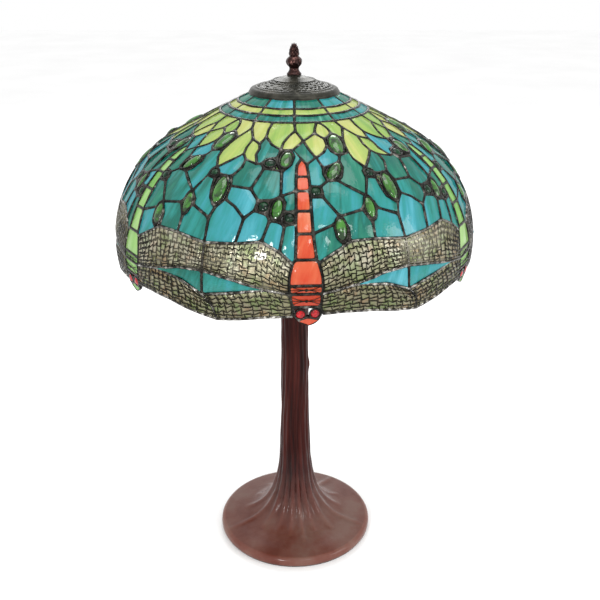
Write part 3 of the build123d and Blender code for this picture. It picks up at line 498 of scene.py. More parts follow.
panes = [
    "c10 c11 c12 c22 c21 c20", "c12 c13 c10+ c20+ c23 c22", "c20 c21 c22 c32 c31 c30",
    "c22 c23 c20+ c30+ c33 c32", "c30 c31 c32 r3 r2 r1", "c32 c33 c30+ r1+ r4 r3", "r1 r2 a1 a2 a3 a4 e1",
    "r2 r3 b1 b2 b3 b4 b5 a2 a1", "b1 n1 v1 b4 b3 b2", "r3 r4 p1 p2 n1 b1", "r4 p6 p5 p4 p3 p2 p1",
    "r4 r1+ e1+ f1+ q1 p4 p5 p6", "e1 a4 h1 i1 u1 t1 t2 t3 t4 f1", "a4 a3 k3 k2 k1 l1 i1 h1",
    "n1 p2 p3 o3 o4 o1 o2", "i1 l1 l2 m1 m2 bb4 t1 u1", "a2 b5 b4 x1 z3 z2 k1 k2 k3 a3",
    "l1 k1 z2 z1 s1 s2 m1 l2", "z1 y4 c1 j1 d1 s1", "v1 t0 tl1 tl2 tl3 c1 y4 y2 y1", "v1 n1 o2 o1 tr1 t0",
    "tr1 o1 k5 k6 k7 k8 b21 tr2", "o1 o4 o3 g2 g1 g3 k5", "k8 k7 q91 j71 j74 j61 b22 k9",
    "g1 t3+ t2+ t1+ bb1+ bb2+ j71 q91 g6 g4 g3", "bb2+ bb3+ j42+ j43+ j44+ qa+ j75 j72 j71",
    "s2 s1 d1 d2 d3 s4 s3", "c1 tl3 tl4 j53 j52", "s3 s4 d3 w2 w1 qa j44", "d3 d2 d5 j56 w3 w2",
    "j56 j54 b51 w8 w3", "b51 b54 tl5 tl6 w9 w8", "b23 b22 j61 j65 tr5 tr4", "tr5 j65 j64 w4 w5 tr6",
    "j61 j74 j73 w7 w6 j62", "j73 j75 qa+ w1+ w7", "v0 g9 g8 g7 v2", "h8 h9 v0+ v2+ h6",
    "w1 w2 w3 w8 w9 bl1 bl2 bl3 g8 g9 v0", "w5 w4 w6 w7 w1+ v0+ h9 h8 br3 br2 br1",
    "bl3 g8 g7 v2 v4 v6 m4 m5 bl5 bl4", "br3 h8 h6 v2+ v4+ v6+ m8 m7 m6 br5 br4", "t0 tr1 tr2 tl2 tl1",
    "tl2 tr2 b21 tr3 tl3", "tl3 tr3 b23 tr4 tl4", "tl4 tr4 tr5 tl5 b54", "tl5 tr5 tr6 tl6",
    "tl6 tr6 w5 br1 br2 bl2 bl1 w9", "bl2 br2 br3 bl3", "bl3 br3 br4 bl4", "nl nt nr hb1 hb2 hb3",
]
jewelSeats = [
    "p4 p3 o3 g2 g1 t3+ t4+ f1+ q1", "m2 m1 s2 s3 j44 j43 j42 bb3 bb4", "t1 bb4 bb3 bb2 bb1",
    "b4 x1 x4 y4 y2 y1 v1", "x1 z3 z2 z1 y4 x4", "k5 g3 g4 g6 q91 k7 k6", "j1 j55 d5 j56 j54 j53 j52 c1",
    "j1 d1 d2 d5 j55", "j61 j62 w6 w4 j64 j65", "j71 j72 j75 j73 j74", "b21 k8 k9 b22 b23 tr3",
    "j53 tl4 b54 b51 j54",
]
headPlate = "bl4 br4 br5 hb1 nr nt nl hb3 bl5"
# jewels as (degrees, mm down, half length, half width, lean)
largeOvals = [(21.8, 74, 15.0, 7.2, 8), (-25.4, 135, 15.2, 6.6, 0)]
smallOvals = [(-3.0, 93.5, 11.5, 5.8, 8), (15.4, 111, 11.8, 6.0, 40), (-5.0, 150.5, 10.5, 5.0, 12),
              (14.0, 171, 11.2, 5.6, -2), (24.5, 153, 11.2, 5.1, -3)]
rounds = [(-9.5, 99, 5.4), (7.5, 132.5, 5.0), (-30.7, 116.5, 4.5), (-9.3, 148.5, 5.2), (-1.1, 158.5, 4.8)]
eyes = [(1.9, 250.6, 4.7), (5.9, 250, 4.7)]


def cartoonPoint(name):
    azimuth, down = cartoon[name.rstrip("+")]
    return (azimuth + step, down) if name.endswith("+") else (azimuth, down)


# leading: solder run over copper foil, one round bead outside and one inside

leading = {"halfWidth": 1.7, "crest": 5.0, "foot": 0.62, "segment": 5.5, "lumpMm": 6.0, "lump": 0.5}


def finerOutline(names):
    # the outline's corners with more points between them, so that rounding keeps its course
    corners = [cartoonPoint(n) for n in names.split()]
    run = []
    for (a, s), (b, t) in zip(corners, corners[1:] + corners[:1]):
        length = (onShade(a, s) - onShade(b, t)).length / mm
        count = max(1, round(length / leading["segment"]))
        run += [(a + (b - a) * i / count, s + (t - s) * i / count) for i in range(count)]
    return run


def makeLeading():
    middle = -shade["glass"] / 2
    points, faces = [], []
    for names in panes + jewelSeats + [headPlate]:
        outline = finerOutline(names)
        for turn in range(shade["repeats"]):
            ring = [onShade(a + turn * step, s, middle) for a, s in outline]
            centre = sum(ring, Vector()) / len(ring)
            normal = sum(((a - centre).cross(b - centre) for a, b in zip(ring, ring[1:] + ring[:1])),
                         Vector())
            if normal.dot(Vector((centre.x, centre.y, 0.05))) < 0:
                ring.reverse()
            faces.append(list(range(len(points), len(points) + len(ring))))
            points += ring
    piece = meshPiece("leadWork", points, [], faces)
    editAll(piece)
    bpy.ops.mesh.remove_doubles(threshold=0.05 * mm)
    bpy.ops.mesh.inset(thickness=leading["halfWidth"] * mm, use_individual=True, use_even_offset=True)
    objectMode()
    inner = [p.index for p in piece.data.polygons if p.select]
    feet = sorted({v for i in inner for v in piece.data.polygons[i].vertices})
    group = piece.vertex_groups.new(name="beadHeight")
    group.add(list(range(len(piece.data.vertices))), 1.0, "REPLACE")
    group.add(feet, leading["foot"], "REPLACE")
    selectOnly(piece)
    bpy.ops.object.mode_set(mode="EDIT")
    bpy.ops.mesh.delete(type="FACE")
    objectMode()
    finishWith(piece, "SOLIDIFY", thickness=leading["crest"] * mm, offset=0, vertex_group="beadHeight",
               thickness_vertex_group=0.0, use_even_offset=False)
    finishWith(piece, "SUBSURF", levels=1, render_levels=1)
    lumps = bpy.data.textures.new("solderLumps", "CLOUDS")
    lumps.noise_scale = leading["lumpMm"] * mm
    finishWith(piece, "DISPLACE", texture=lumps, texture_coords="LOCAL", strength=leading["lump"] * mm,
               mid_level=0.5)
    smoothBy(piece, 180)
    dressPiece(piece, solder, "shade", "solder", "lead_cames")
    return piece


leadWork = makeLeading()
print("leading:", len(leadWork.data.polygons), "faces")


# bezels: a roll of solder round each jewel

bezel = {"roll": 1.0, "around": 28, "section": 6}


def makeBezel(azimuth, down, halfLength, halfWidth, lean):
    bpy.ops.object.select_all(action="DESELECT")
    bpy.ops.mesh.primitive_torus_add(major_segments=bezel["around"], minor_segments=bezel["section"],
                                     major_radius=(halfWidth + 0.4) * mm, minor_radius=bezel["roll"] * mm)
    ring = bpy.context.object
    stretch = (halfLength + 0.4) / (halfWidth + 0.4)
    ring.data.transform(shadeFrame(azimuth, down, -0.1, -lean) @ Matrix.Diagonal((1, stretch, 1, 1)))
    return ring


objectMode()
ovals = largeOvals + smallOvals + [(a, s, r, r, 0) for a, s, r in rounds + eyes]
bezels = joinPieces([makeBezel(*oval) for oval in ovals], "jewelBezels")
bezels = aroundAxis(bezels, shade["repeats"], "jewelBezels")
finishWith(bezels, "DISPLACE", texture=bpy.data.textures["solderLumps"], texture_coords="LOCAL",
           strength=0.3 * mm, mid_level=0.5)
smoothBy(bezels, 180)
dressPiece(bezels, solder, "shade", "solder")


# glass: each kind of pane as one piece, from its CAD solids, with the cut edges ground round

ground = {"edge": 0.35, "segments": 2}


def glassPiece(name, node, material, slotName, flat=True):
    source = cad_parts[node]
    piece = bpy.data.objects.new(name, source.data.copy())
    bpy.context.scene.collection.objects.link(piece)
    editAll(piece)
    bpy.ops.mesh.remove_doubles(threshold=0.005 * mm)
    if flat:
        bpy.ops.mesh.dissolve_limited(angle_limit=math.radians(2))
    objectMode()
    if flat:
        finishWith(piece, "BEVEL", width=ground["edge"] * mm, segments=ground["segments"],
                   limit_method="ANGLE", angle_limit=math.radians(50))
    smoothBy(piece, 35 if flat else 60)
    dressPiece(piece, material, "shade", slotName, node)


for name, node, material, slotName in [
        ("upperRingPanes", "ring_glass_upper", tealGlass, "teal_glass"),
        ("middleRingPanes", "ring_glass_middle", leafGlass, "leaf_glass"),
        ("lowerRingPanes", "ring_glass_lower", tealGlass, "teal_glass"),
        ("leafPanes", "leaf_glass", leafGlass, "leaf_glass"),
        ("backgroundPanes", "background_glass", tealGlass, "teal_glass"),
        ("gapPanes", "gap_glass", tealGlass, "teal_glass"),
        ("orangeDragonflyPanes", "dragonfly_glass_orange", orangeGlass, "orange_glass"),
        ("greenDragonflyPanes", "dragonfly_glass_green", paleGreenGlass, "pale_green_glass")]:
    glassPiece(name, node, material, slotName)
for name, node, material, slotName in [
        ("upperWingPanes", "wing_glass_upper", wingGlass, "wing_glass"),
        ("lowerWingPanes", "wing_glass_lower", wingGlass, "wing_glass"),
        ("largeOvalJewels", "large_oval_jewels", greenJewel, "green_jewel"),
        ("smallOvalJewels", "small_oval_jewels", greenJewel, "green_jewel"),
        ("roundJewels", "round_jewels", darkJewel, "green_jewel"),
        ("eyeJewels", "eye_jewels", redJewel, "red_jewel")]:
    glassPiece(name, node, material, slotName, flat=False)
print("glass made")


# wings: each is bounded by four lines of the cartoon, along its top, its bottom, the body and the tip

wings = {
    "upper": [("w5 w4 w6 w7 w1+", "br3 h8 h9 v0+", "w5 br1 br2 br3", "w1+ v0+"),
              ("w9 w8 w3 w2 w1", "bl3 g8 g9 v0", "w9 bl1 bl2 bl3", "w1 v0")],
    "lower": [("br3 h8 h6 v2+", "br5 m6 m7 m8 v6+", "br3 br4 br5", "v2+ v4+ v6+"),
              ("bl3 g8 g7 v2", "bl5 m5 m4 v6", "bl3 bl4 bl5", "v2 v4 v6")],
}
# heavier solder round the wings, in mm
border = {"thick": 1.7, "sunk": 0.75, "step": 7.0, "sides": 6, "lump": 0.5}


def alongLine(names, share):
    # the point that far along a line of cartoon points, as degrees and mm
    corners = [cartoonPoint(n) for n in names.split()]
    lengths = [(onShade(*a) - onShade(*b)).length for a, b in zip(corners, corners[1:])]
    left = share * sum(lengths)
    for (a, b), length in zip(zip(corners, corners[1:]), lengths):
        if left <= length + 1e-9:
            t = left / length
            return Vector((a[0] + (b[0] - a[0]) * t, a[1] + (b[1] - a[1]) * t))
        left -= length
    return Vector(corners[-1])


def wireAlong(points, thick, sides, resolution=1):
    # a round wire through the points
    curve = bpy.data.curves.new("wire", "CURVE")
    curve.dimensions = "3D"
    spline = curve.splines.new("NURBS")
    spline.points.add(len(points) - 1)
    for point, place in zip(spline.points, points):
        point.co = (*place, 1)
    spline.order_u = 3
    spline.use_endpoint_u = True
    spline.resolution_u = resolution
    curve.bevel_depth = thick * mm
    curve.bevel_resolution = sides // 2 - 2
    curve.use_fill_caps = True
    wire = bpy.data.objects.new("wire", curve)
    bpy.context.scene.collection.objects.link(wire)
    selectOnly(wire)
    bpy.ops.object.convert(target="MESH")
    return bpy.context.object


def makeBorders():
    rolls = []
    for top, bottom, root, tip in wings["upper"] + wings["lower"]:
        for names in (top, bottom, tip):
            corners = [onShade(*cartoonPoint(n)) for n in names.split()]
            length = sum((a - b).length for a, b in zip(corners, corners[1:])) / mm
            count = max(2, round(length / border["step"]))
            line = [onShade(*alongLine(names, i / count), -border["sunk"]) for i in range(count + 1)]
            rolls.append(wireAlong(line, border["thick"], border["sides"], 2))
    piece = aroundAxis(joinPieces(rolls, "wingBorders"), shade["repeats"], "wingBorders")
    lumps = bpy.data.textures.new("borderLumps", "CLOUDS")
    lumps.noise_scale = 3.2 * mm
    finishWith(piece, "DISPLACE", texture=lumps, texture_coords="LOCAL", strength=border["lump"] * mm,
               mid_level=0.5)
    smoothBy(piece, 180)
    dressPiece(piece, wornSolder, "shade", "solder")
    print("wing borders:", len(piece.data.polygons), "faces")


makeBorders()


# wing filigree: thin brass etched into cells, round and open above, long and flat below

net = {"wire": 0.66, "thick": 0.5, "lift": 0.3, "shift": 0.24, "jitter": 0.8, "round": 1.0}
# courses of cells from the top edge of a wing down: height, length and how far the cells turn hexagonal
courses = {
    "upper": [(5.0, 6.0, 1), (5.0, 5.8, 1), (4.8, 5.8, 1), (4.6, 6.2, 1), (4.2, 6.6, 1), (3.8, 7.4, 0.9),
              (3.2, 8.6, 0.8),
              (3.0, 9.4, 0.7)],
    "lower": [(4.2, 6.0, 1), (3.8, 7.0, 1), (3.4, 8.0, 1), (3.2, 9.0, 0.9), (3.2, 9.6, 0.8), (3.2, 9.0, 0.8)],
}


def wingPoint(lines, u, v):
    # a point of the wing, u from body to tip and v from top to bottom, blended between its four lines
    top, bottom, root, tip = lines
    sides = alongLine(top, u) * (1 - v) + alongLine(bottom, u) * v
    ends = alongLine(root, v) * (1 - u) + alongLine(tip, v) * u
    corners = ((alongLine(top, 0) * (1 - u) + alongLine(top, 1) * u) * (1 - v)
               + (alongLine(bottom, 0) * (1 - u) + alongLine(bottom, 1) * u) * v)
    return sides + ends - corners


def makeNet(lines, rows, seed):
    # courses of cells like brickwork, with joints shifted towards a honeycomb and nudged, so no two are alike
    dice = random.Random(seed)
    middle = [onShade(*wingPoint(lines, i / 10, 0.5)) for i in range(11)]
    span = sum((a - b).length for a, b in zip(middle, middle[1:])) / mm
    total = sum(height for height, length, comb in rows)
    levels = [sum(row[0] for row in rows[:i]) / total for i in range(len(rows) + 1)]
    joints = []
    for i, (height, length, comb) in enumerate(rows):
        count = max(5, round(span / length))
        inner = [(k + 0.5 * (i % 2) + dice.uniform(-0.2, 0.2)) / count for k in range(1, count)]
        joints.append([0.0] + [p for p in inner if p < 0.985] + [1.0])
    points, index, faces = [], {}, []

    def corner(row, place, side):
        # side is the course whose joint ends here: it pushes the corner out of its way
        key = (row, round(place, 6))
        if key not in index:
            height, comb = rows[side][0], rows[side][2]
            inside = 0 < row < len(rows)
            push = (1 if side < row else -1) * net["shift"] * comb * height / total if inside else 0
            loose = inside and 0 < place < 1
            u = place + (dice.uniform(-1, 1) * net["jitter"] / span if loose else 0)
            v = levels[row] + (push + dice.uniform(-1, 1) * net["jitter"] * 0.5 / total if loose else 0)
            index[key] = len(points)
            points.append(onShade(*wingPoint(lines, u, v), net["lift"]))
        return index[key]

    for i, places in enumerate(joints):
        above = joints[i - 1] if i else []
        below = joints[i + 1] if i + 1 < len(rows) else []
        for a, b in zip(places, places[1:]):
            upper = sorted({(p, i) for p in (a, b)} | {(p, i - 1) for p in above if a < p < b})
            lower = sorted({(p, i) for p in (a, b)} | {(p, i + 1) for p in below if a < p < b})
            faces.append([corner(i, p, side) for p, side in upper]
                         + [corner(i + 1, p, side) for p, side in reversed(lower)])
    return meshPiece("net", points, [], faces)


def makeFiligree(name, kind, material, *nodes):
    nets = []
    for number, lines in enumerate(wings[kind]):
        piece = makeNet(lines, courses[kind], 7 * number + len(name))
        editAll(piece)
        bpy.ops.mesh.remove_doubles(threshold=0.3 * mm)
        bpy.ops.mesh.select_all(action="SELECT")
        bpy.ops.mesh.normals_make_consistent(inside=False)
        bpy.ops.mesh.inset(thickness=net["wire"] * mm, use_individual=True, use_even_offset=False)
        # etched holes
        bpy.ops.mesh.bevel(affect="VERTICES", offset=net["round"] * mm, segments=1, clamp_overlap=True)
        bpy.ops.mesh.delete(type="FACE")
        objectMode()
        facing = sum(p.normal.dot(Vector((p.center.x, p.center.y, 0))) for p in piece.data.polygons)
        if facing < 0:
            editAll(piece)
            bpy.ops.mesh.flip_normals()
            objectMode()
        nets.append(piece)
    piece = joinPieces(nets, name)
    finishWith(piece, "SOLIDIFY", thickness=net["thick"] * mm, offset=1)
    piece = aroundAxis(piece, shade["repeats"], name)
    smoothBy(piece, 30)
    dressPiece(piece, material, "shade", "filigree_brass", *nodes)
    print(name, len(piece.data.polygons), "faces")


makeFiligree("upperFiligree", "upper", sheenPaintedBrass, "wing_filigree")
makeFiligree("lowerFiligree", "lower", etchedBrass)


# leg filigree: brass strands that cross over the body in two bands

legs = {"bands": [(222.5, 229.0), (232.5, 240.5)], "left": -0.7, "right": 7.6, "middle": 3.5, "wire": 0.55,
        "lift": 0.7}


def makeLegs():
    strands = []
    for high, low in legs["bands"]:
        knot = (high + low) / 2
        for side in ("left", "right"):
            end = legs[side]
            for reach in (0.0, 0.5, 1.0):
                height = high + (low - high) * reach
                sag = (height - knot) * 0.35
                places = [(legs["middle"], knot),
                          (legs["middle"] + (end - legs["middle"]) * 0.4, knot + sag * 0.4),
                          (legs["middle"] + (end - legs["middle"]) * 0.75, knot + sag * 2), (end, height)]
                strands.append(wireAlong([onShade(a, s, legs["lift"]) for a, s in places], 0.6 * legs["wire"],
                                         6, 3))
        bpy.ops.object.select_all(action="DESELECT")
        bpy.ops.mesh.primitive_uv_sphere_add(segments=12, ring_count=6, radius=1.4 * mm)
        knob = bpy.context.object
        knob.data.transform(shadeFrame(legs["middle"], knot,
                                       legs["lift"]) @ Matrix.Diagonal((1.3, 1, 0.6, 1)))
        strands.append(knob)
    piece = aroundAxis(joinPieces(strands, "legFiligree"), shade["repeats"], "legFiligree")
    smoothBy(piece, 60)
    dressPiece(piece, etchedBrass, "shade", "filigree_brass", "leg_filigree")


makeLegs()
print("filigree made")


# trunk and foot in one skin over both castings: a young tree whose roots run out over a round foot

trunk = {"steps": 288, "foot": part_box("foot_casting")[1].x / mm, "low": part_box("foot_casting")[0].z / mm,
         "top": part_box("trunk_casting")[1].z / mm, "bore": 8, "rimHeight": 9.5, "neck": 4, "flare": 24,
         "slim": 14, "rimRoot": 90}
knot = {"height": 232, "tall": 7, "place": 84, "wide": 13, "out": 1.8}
# roots as (degrees, how far out in mm, width in degrees on the trunk, height in mm)
roots = [(-172, 58, 11, 3.4), (-146, 66, 9, 4.0), (-118, 60, 12, 3.2), (-92, 68, 10, 4.2), (-66, 96, 8, 2.4),
         (-44, 62, 9, 4.2), (-24, 56, 8, 3.6), (-6, 60, 8, 4.4), (10, 70, 7, 3.8), (27, 58, 9, 4.6),
         (48, 66, 10, 4.2), (72, 96, 9, 2.4), (95, 60, 10, 3.8), (118, 66, 9, 4.0), (146, 96, 10, 3.4),
         (166, 58, 8, 3.6)]


def angleBetween(a, b):
    return abs((a - b + 180) % 360 - 180)


def rootRelief(azimuth, radius, height):
    # how far the bark stands off the plain casting, in mm
    sway = 7 * math.sin(height / 61) + 4 * math.sin(height / 23 + 1)
    total, flare = 0.0, trunk["flare"]
    for place, reach, width, tall in roots:
        away = angleBetween(azimuth + sway * min(1, max(0, (height - 40) / 80)), place)
        if radius > flare:
            narrow = width * (flare / radius) ** 0.9
            fade = max(0, 1 - (radius - flare) / (reach - flare)) ** 0.7 if radius < reach else 0
            thin = 0.13 if reach > trunk["rimRoot"] and radius > 55 else 0
            stand = tall * fade + thin * tall * min(1, (reach - radius) / 6 + 0.1)
            total = max(total, stand * math.exp(-(away / narrow) ** 2))
        else:
            share = min(1, (radius - trunk["slim"]) / (flare - trunk["slim"]))
            total = max(total, (0.9 + (tall - 0.9) * share ** 2) * math.exp(-(away / width) ** 2))
    return total


def shapeTrunk(piece):
    for vertex in piece.data.vertices:
        x, y, z = vertex.co / mm
        radius = math.hypot(x, y)
        if radius < trunk["bore"] or z < trunk["rimHeight"] or z > trunk["top"] - trunk["neck"]:
            continue
        azimuth = math.degrees(math.atan2(x, -y))
        relief = rootRelief(azimuth, radius, z)
        onTrunk = min(1, max(0, (34 - radius) / 10))
        bark = onTrunk * noise.noise(Vector((x * 0.16, y * 0.16, z * 0.02))) * 0.8
        grain = onTrunk * noise.noise(Vector((x * 0.5, y * 0.5, z * 0.05 + 9))) * 0.35
        aside = (angleBetween(azimuth, knot["place"]) / knot["wide"]) ** 2
        bump = knot["out"] * math.exp(-((z - knot["height"]) / knot["tall"]) ** 2 - aside)
        edge = min(1, (z - trunk["rimHeight"]) / 3) * min(1, (trunk["foot"] - radius) / 4)
        lift = (relief - onTrunk + bark + grain + bump) * edge
        steep = min(1, max(0, (radius - 20) / 40))   # up on the foot, out on the trunk
        out = (1 - steep) * lift
        vertex.co = Vector((x * (radius + out) / radius, y * (radius + out) / radius,
                            z + steep * lift * 0.8)) * mm


def makeTrunk():
    foot, low, top = trunk["foot"], trunk["low"], trunk["top"]
    edge = [(foot - 4, low), (foot - 1.2, low), (foot - 0.2, low + 1.6), (foot, low + 4),
            (foot - 0.4, low + 7),
            (foot - 1.8, low + 9.2), (foot - 4.5, low + 10.6)]
    rise = curveThrough([(foot - 4.5, low + 10.6), (82, 14.2), (70, 16.4), (58, 19.5), (47, 25.5), (37, 35),
                         (29, 48),
                         (24, 63), (21, 80), (19.2, 100), (18.1, 130), (17.2, 175), (16.5, 230), (16.0, 290),
                         (15.6, top - 6)], 12)
    cap = [(15.6, top - 2), (15.0, top - 0.4), (13.5, top), (6, top)]
    inside = [(6, top - 4), (11, top - 6), (12.5, 90), (18, 60), (40, 22), (66, 10), (foot - 8, 8),
              (foot - 8, low),
              (foot - 4, low)]
    piece = turnedPiece("treeTrunkFoot", edge + rise[1:] + cap + inside, trunk["steps"])
    shapeTrunk(piece)
    smoothBy(piece, 45)
    dressPiece(piece, castPatina, "stand", "patinated_casting", "foot_casting", "trunk_casting")
    return piece


treeTrunk = makeTrunk()
print("trunk:", len(treeTrunk.data.polygons), "faces")


# cap: cast, with a rolled rim and a band pierced like lace

cap = {"foot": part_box("vent_cap")[0].z / mm, "top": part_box("vent_cap")[1].z / mm,
       "rim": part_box("vent_cap")[1].x / mm,
       "laceOut": 39.0, "laceIn": 21.5, "sheet": 1.4, "steps": 96, "rings": 5, "holes": 38, "strand": 0.8,
       "open": 0.85, "laceSheet": 1.5}


def capHeight(radius):
    # the cap's slope over its pierced band, in mm above its foot
    share = (cap["laceOut"] - radius) / (cap["laceOut"] - cap["laceIn"])
    return cap["foot"] + 5.0 + share * 6.4 - 0.3 * math.sin(math.pi * share)


def makeCap():
    foot, top, rim = cap["foot"], cap["top"], cap["rim"]
    roll = [(rim - 2.4, foot - 1.2), (rim - 1.0, foot - 1.7), (rim - 0.1, foot - 1.3), (rim, foot - 0.5),
            (rim - 0.6, foot + 0.2), (rim - 1.1, foot + 0.9), (rim - 1.7, foot + 2.2),
            (rim - 3.0, foot + 3.3),
            (rim - 5.0, foot + 4.1), (rim - 6.8, foot + 4.6), (rim - 7.6, foot + 5.4),
            (rim - 8.6, foot + 5.6),
            (cap["laceOut"], capHeight(cap["laceOut"]))]
    under = [(r - 0.3, z - cap["sheet"]) for r, z in reversed(roll[2:])]
    rimRing = turnedPiece("capRim", roll + under + roll[:1], cap["steps"])
    cone = curveThrough([(cap["laceIn"], capHeight(cap["laceIn"])), (17, foot + 12.9), (12.5, foot + 14.5),
                         (9, top), (7.8, top + 0.2)], 4)
    cone = [(cap["laceIn"] + 0.8, capHeight(cap["laceIn"]) + 0.5)] + cone
    back = [(3.4, top + 0.1), (3.4, top - 1.5)] + [(r - 0.2, z - cap["sheet"]) for r, z in reversed(cone)]
    crown = turnedPiece("capCrown", cone + back + cone[:1], cap["steps"])
    return [rimRing, crown]


def makeLace():
    # rings of small uneven holes between scrolls
    dice = random.Random(11)
    rings, count = cap["rings"], cap["holes"]
    points, faces = [], []
    for i in range(rings + 1):
        radius = cap["laceOut"] + 0.3 + (cap["laceIn"] - cap["laceOut"] - 0.3) * i / rings
        for k in range(count):
            lively = 0 if i in (0, rings) else 1
            r = radius + lively * dice.uniform(-0.9, 0.9)
            turn = 2 * math.pi * (k + 0.5 * (i % 2) + lively * dice.uniform(-0.26, 0.26)) / count
            points.append(Vector((r * math.sin(turn), -r * math.cos(turn), capHeight(r) - 0.4)) * mm)
    for i in range(rings):
        for k in range(count):
            n = (k + 1) % count
            shift = i % 2
            a, b = i * count + k, i * count + n
            c, d = (i + 1) * count + (n if shift else k), (i + 1) * count + ((n + 1) % count if shift else n)
            faces.append([a, b, d, c])
    piece = meshPiece("capLace", points, [], faces)
    editAll(piece)
    bpy.ops.mesh.normals_make_consistent(inside=False)
    bpy.ops.mesh.inset(thickness=cap["strand"] * mm, use_individual=True)
    objectMode()
    openings = [p.index for p in piece.data.polygons if p.select]
    for i in openings:
        piece.data.polygons[i].select = dice.random() < cap["open"]  # the rest stay as leaves of the lace
    selectOnly(piece)
    bpy.ops.object.mode_set(mode="EDIT")
    bpy.ops.mesh.delete(type="FACE")
    objectMode()
    if sum(p.normal.z for p in piece.data.polygons) < 0:
        editAll(piece)
        bpy.ops.mesh.flip_normals()
        objectMode()
    finishWith(piece, "SOLIDIFY", thickness=cap["laceSheet"] * mm, offset=0)
    finishWith(piece, "SUBSURF", levels=1, render_levels=1)
    return piece


ventCap = joinPieces(makeCap() + [makeLace()], "ventCap")
smoothBy(ventCap, 50)
dressPiece(ventCap, darkBronze, "shade", "dark_brass", "vent_cap")
print("cap made")


# finial: flared foot, a bud of twisted leaves and a pine cone on it

finial = {"foot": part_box("finial")[0].z / mm, "top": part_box("finial")[1].z / mm}


def makeScale(height, radius, turn, size):
    # one scale of the pine cone, a flattened bud that leans outwards
    bpy.ops.object.select_all(action="DESELECT")
    bpy.ops.mesh.primitive_uv_sphere_add(segments=8, ring_count=6, radius=mm)
    bud = bpy.context.object
    place = Matrix.Translation(Vector((0, 0, height * mm))) @ Matrix.Rotation(turn, 4, "Z")
    place = place @ Matrix.Translation(Vector((radius * mm, 0, 0))) @ Matrix.Rotation(math.radians(14), 4,
                                                                                      "Y")
    bud.data.transform(place @ Matrix.Diagonal((size * 0.5, size * 0.78, size * 1.15, 1)))
    return bud


def makeFinial():
    foot, tall = finial["foot"], finial["top"] - finial["foot"]
    side = curveThrough([(7.6, 0), (7.8, 1.2), (6.6, 2.6), (5.4, 4.6), (5.1, 6.6), (5.7, 8.2), (7.6, 10.6),
                         (8.4, 13.4),
                         (7.6, 16.2), (5.6, 18.4), (4.4, 19.6), (4.3, 22.5), (3.7, 26), (1.8, tall - 3.6),
                         (0, tall - 0.6)], 5)
    profile = [(3.15, foot), (7.4, foot)] + [(r, foot + z) for r, z in side]
    profile = profile + [(0, foot + 16.5), (3.15, foot + 16.5), (3.15, foot)]
    body = turnedPiece("finialBody", profile, 64)
    for vertex in body.data.vertices:
        # leaves twisted round the bud
        x, y, z = vertex.co / mm
        radius, height = math.hypot(x, y), z - foot
        if radius > 4.2 and 8 < height < 19:
            turn = math.atan2(y, x) * 7 + height * 0.5
            swell = math.sin(math.pi * (height - 8) / 11)
            grow = (abs(math.sin(turn / 2)) ** 0.6 - 0.75) * 1.3 * swell
            vertex.co = Vector((x * (radius + grow) / radius, y * (radius + grow) / radius, z)) * mm
    scales = []
    for ring in range(7):
        height = 20.9 + ring * 1.65
        radius = 4.5 - 0.075 * ring ** 2
        count = 8 if ring < 4 else 6 if ring < 6 else 4
        for k in range(count):
            turn = 2 * math.pi * (k + 0.5 * (ring % 2)) / count
            scales.append(makeScale(foot + height, radius + 0.05, turn, 1.9 - 0.12 * ring))
    return joinPieces([body] + scales, "pineConeFinial")


pineCone = makeFinial()
smoothBy(pineCone, 60)
dressPiece(pineCone, redBronze, "finial", "dark_brass", "finial")
print("finial made")


# the fittings inside keep their CAD shapes

fittings = {
    "felt_pad": woolFelt, "ballast_weight": castIron, "base_washer": platedSteel, "base_nut": platedSteel,
    "stem_pipe": platedSteel, "cord_grommet": blackRubber, "trunk_collar": darkBronze,
    "collar_nut": darkBronze,
    "cluster_body": darkBronze, "riser_rod": platedSteel, "riser_sleeve": darkBronze,
    "shade_spider": darkBronze,
    "crown_ring": darkBronze, "cap_washer": darkBronze,
}
for side in ("left", "right"):
    fittings.update({f"socket_nipple_{side}": platedSteel, f"lampholder_cup_{side}": blackThermoset,
                     f"lampholder_sleeve_{side}": blackThermoset, f"contact_block_{side}": glazedCeramic,
                     f"bulb_cap_{side}": drawnAluminium, f"bulb_glass_{side}": lampGlass})
for node, material in fittings.items():
    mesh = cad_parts[node].data
    mesh.materials.clear()
    mesh.materials.append(material)


# stage: pale floor, soft studio light, the camera

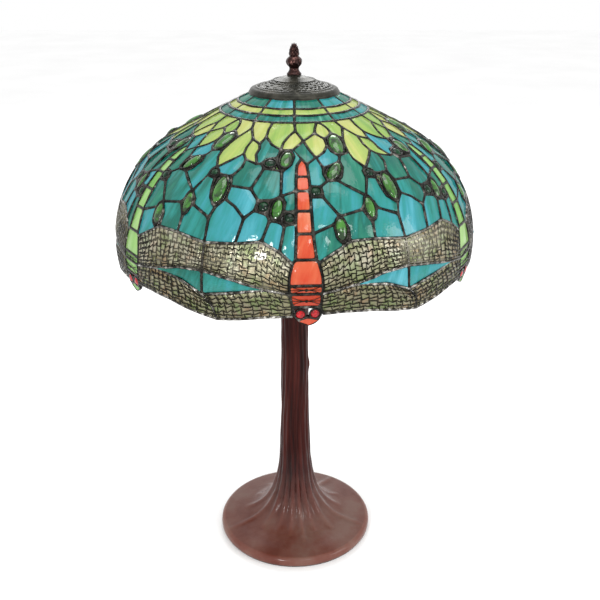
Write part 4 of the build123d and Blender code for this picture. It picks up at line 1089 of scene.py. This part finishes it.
def makeFloor():
    # matt white paper
    material, add, place = newMaterial("whitePaperSweep")
    fibre = add("TexNoise", {"Vector": place, "Scale": perMetre(300), "Detail": 2.0})
    tone = add("ValToRGB", {"Fac": fibre}, "Color", [(0.3, "#fafafa"), (0.7, "#ffffff")])
    face = add("BsdfPrincipled", {"Base Color": tone, "Roughness": 0.9})
    add("OutputMaterial", {"Surface": face}, None)
    bpy.ops.object.select_all(action="DESELECT")
    bpy.ops.mesh.primitive_plane_add(size=12, location=(0, 0, 0))
    floor = bpy.context.object
    floor.name = "floor"
    floor.data.materials.append(material)


def addSoftbox(name, place, target, size, power):
    light = bpy.data.lights.new(name, "AREA")
    light.shape = "SQUARE"
    light.size = size
    light.energy = power
    lamp = bpy.data.objects.new(name, light)
    lamp.location = place
    lamp.rotation_euler = (Vector(target) - Vector(place)).to_track_quat("-Z", "Y").to_euler()
    bpy.context.scene.collection.objects.link(lamp)


makeFloor()
addSoftbox("keyLight", (-0.54, -1.55, 0.84), (0, 0, 0.42), 0.18, 8)
addSoftbox("frontLight", (0.42, -1.25, 1.25), (0, 0, 0.1), 0.2, 2)
addSoftbox("topLight", (0.1, -0.2, 1.9), (0, 0, 0.4), 1.0, 9)
addSoftbox("rightLight", (1.6, -0.7, 0.9), (0, 0, 0.4), 0.7, 8)
addSoftbox("backLight", (0, 1.7, 1.5), (0, 0, 0.05), 0.9, 14)
world = bpy.data.worlds.new("paleStudio")
world.use_nodes = True
world.node_tree.nodes["Background"].inputs["Color"].default_value = (1, 1, 1, 1)
world.node_tree.nodes["Background"].inputs["Strength"].default_value = 1.0
bpy.context.scene.world = world
bpy.context.scene.view_settings.view_transform = "Standard"

view = {"right": 0.0062, "back": 0.930, "overWidest": 315, "pitch": 23.3, "lens": 51.6}
lens = bpy.data.cameras.new("camera")
lens.lens = view["lens"]
lens.sensor_width = 36
lens.clip_end = 50
camera = bpy.data.objects.new("camera", lens)
camera.location = (view["right"], -view["back"], (shade["widestHeight"] + view["overWidest"]) * mm)
camera.rotation_euler = (math.radians(90 - view["pitch"]), 0, 0)
bpy.context.scene.collection.objects.link(camera)
bpy.context.scene.camera = camera
objectMode()
bpy.ops.object.select_all(action="DESELECT")
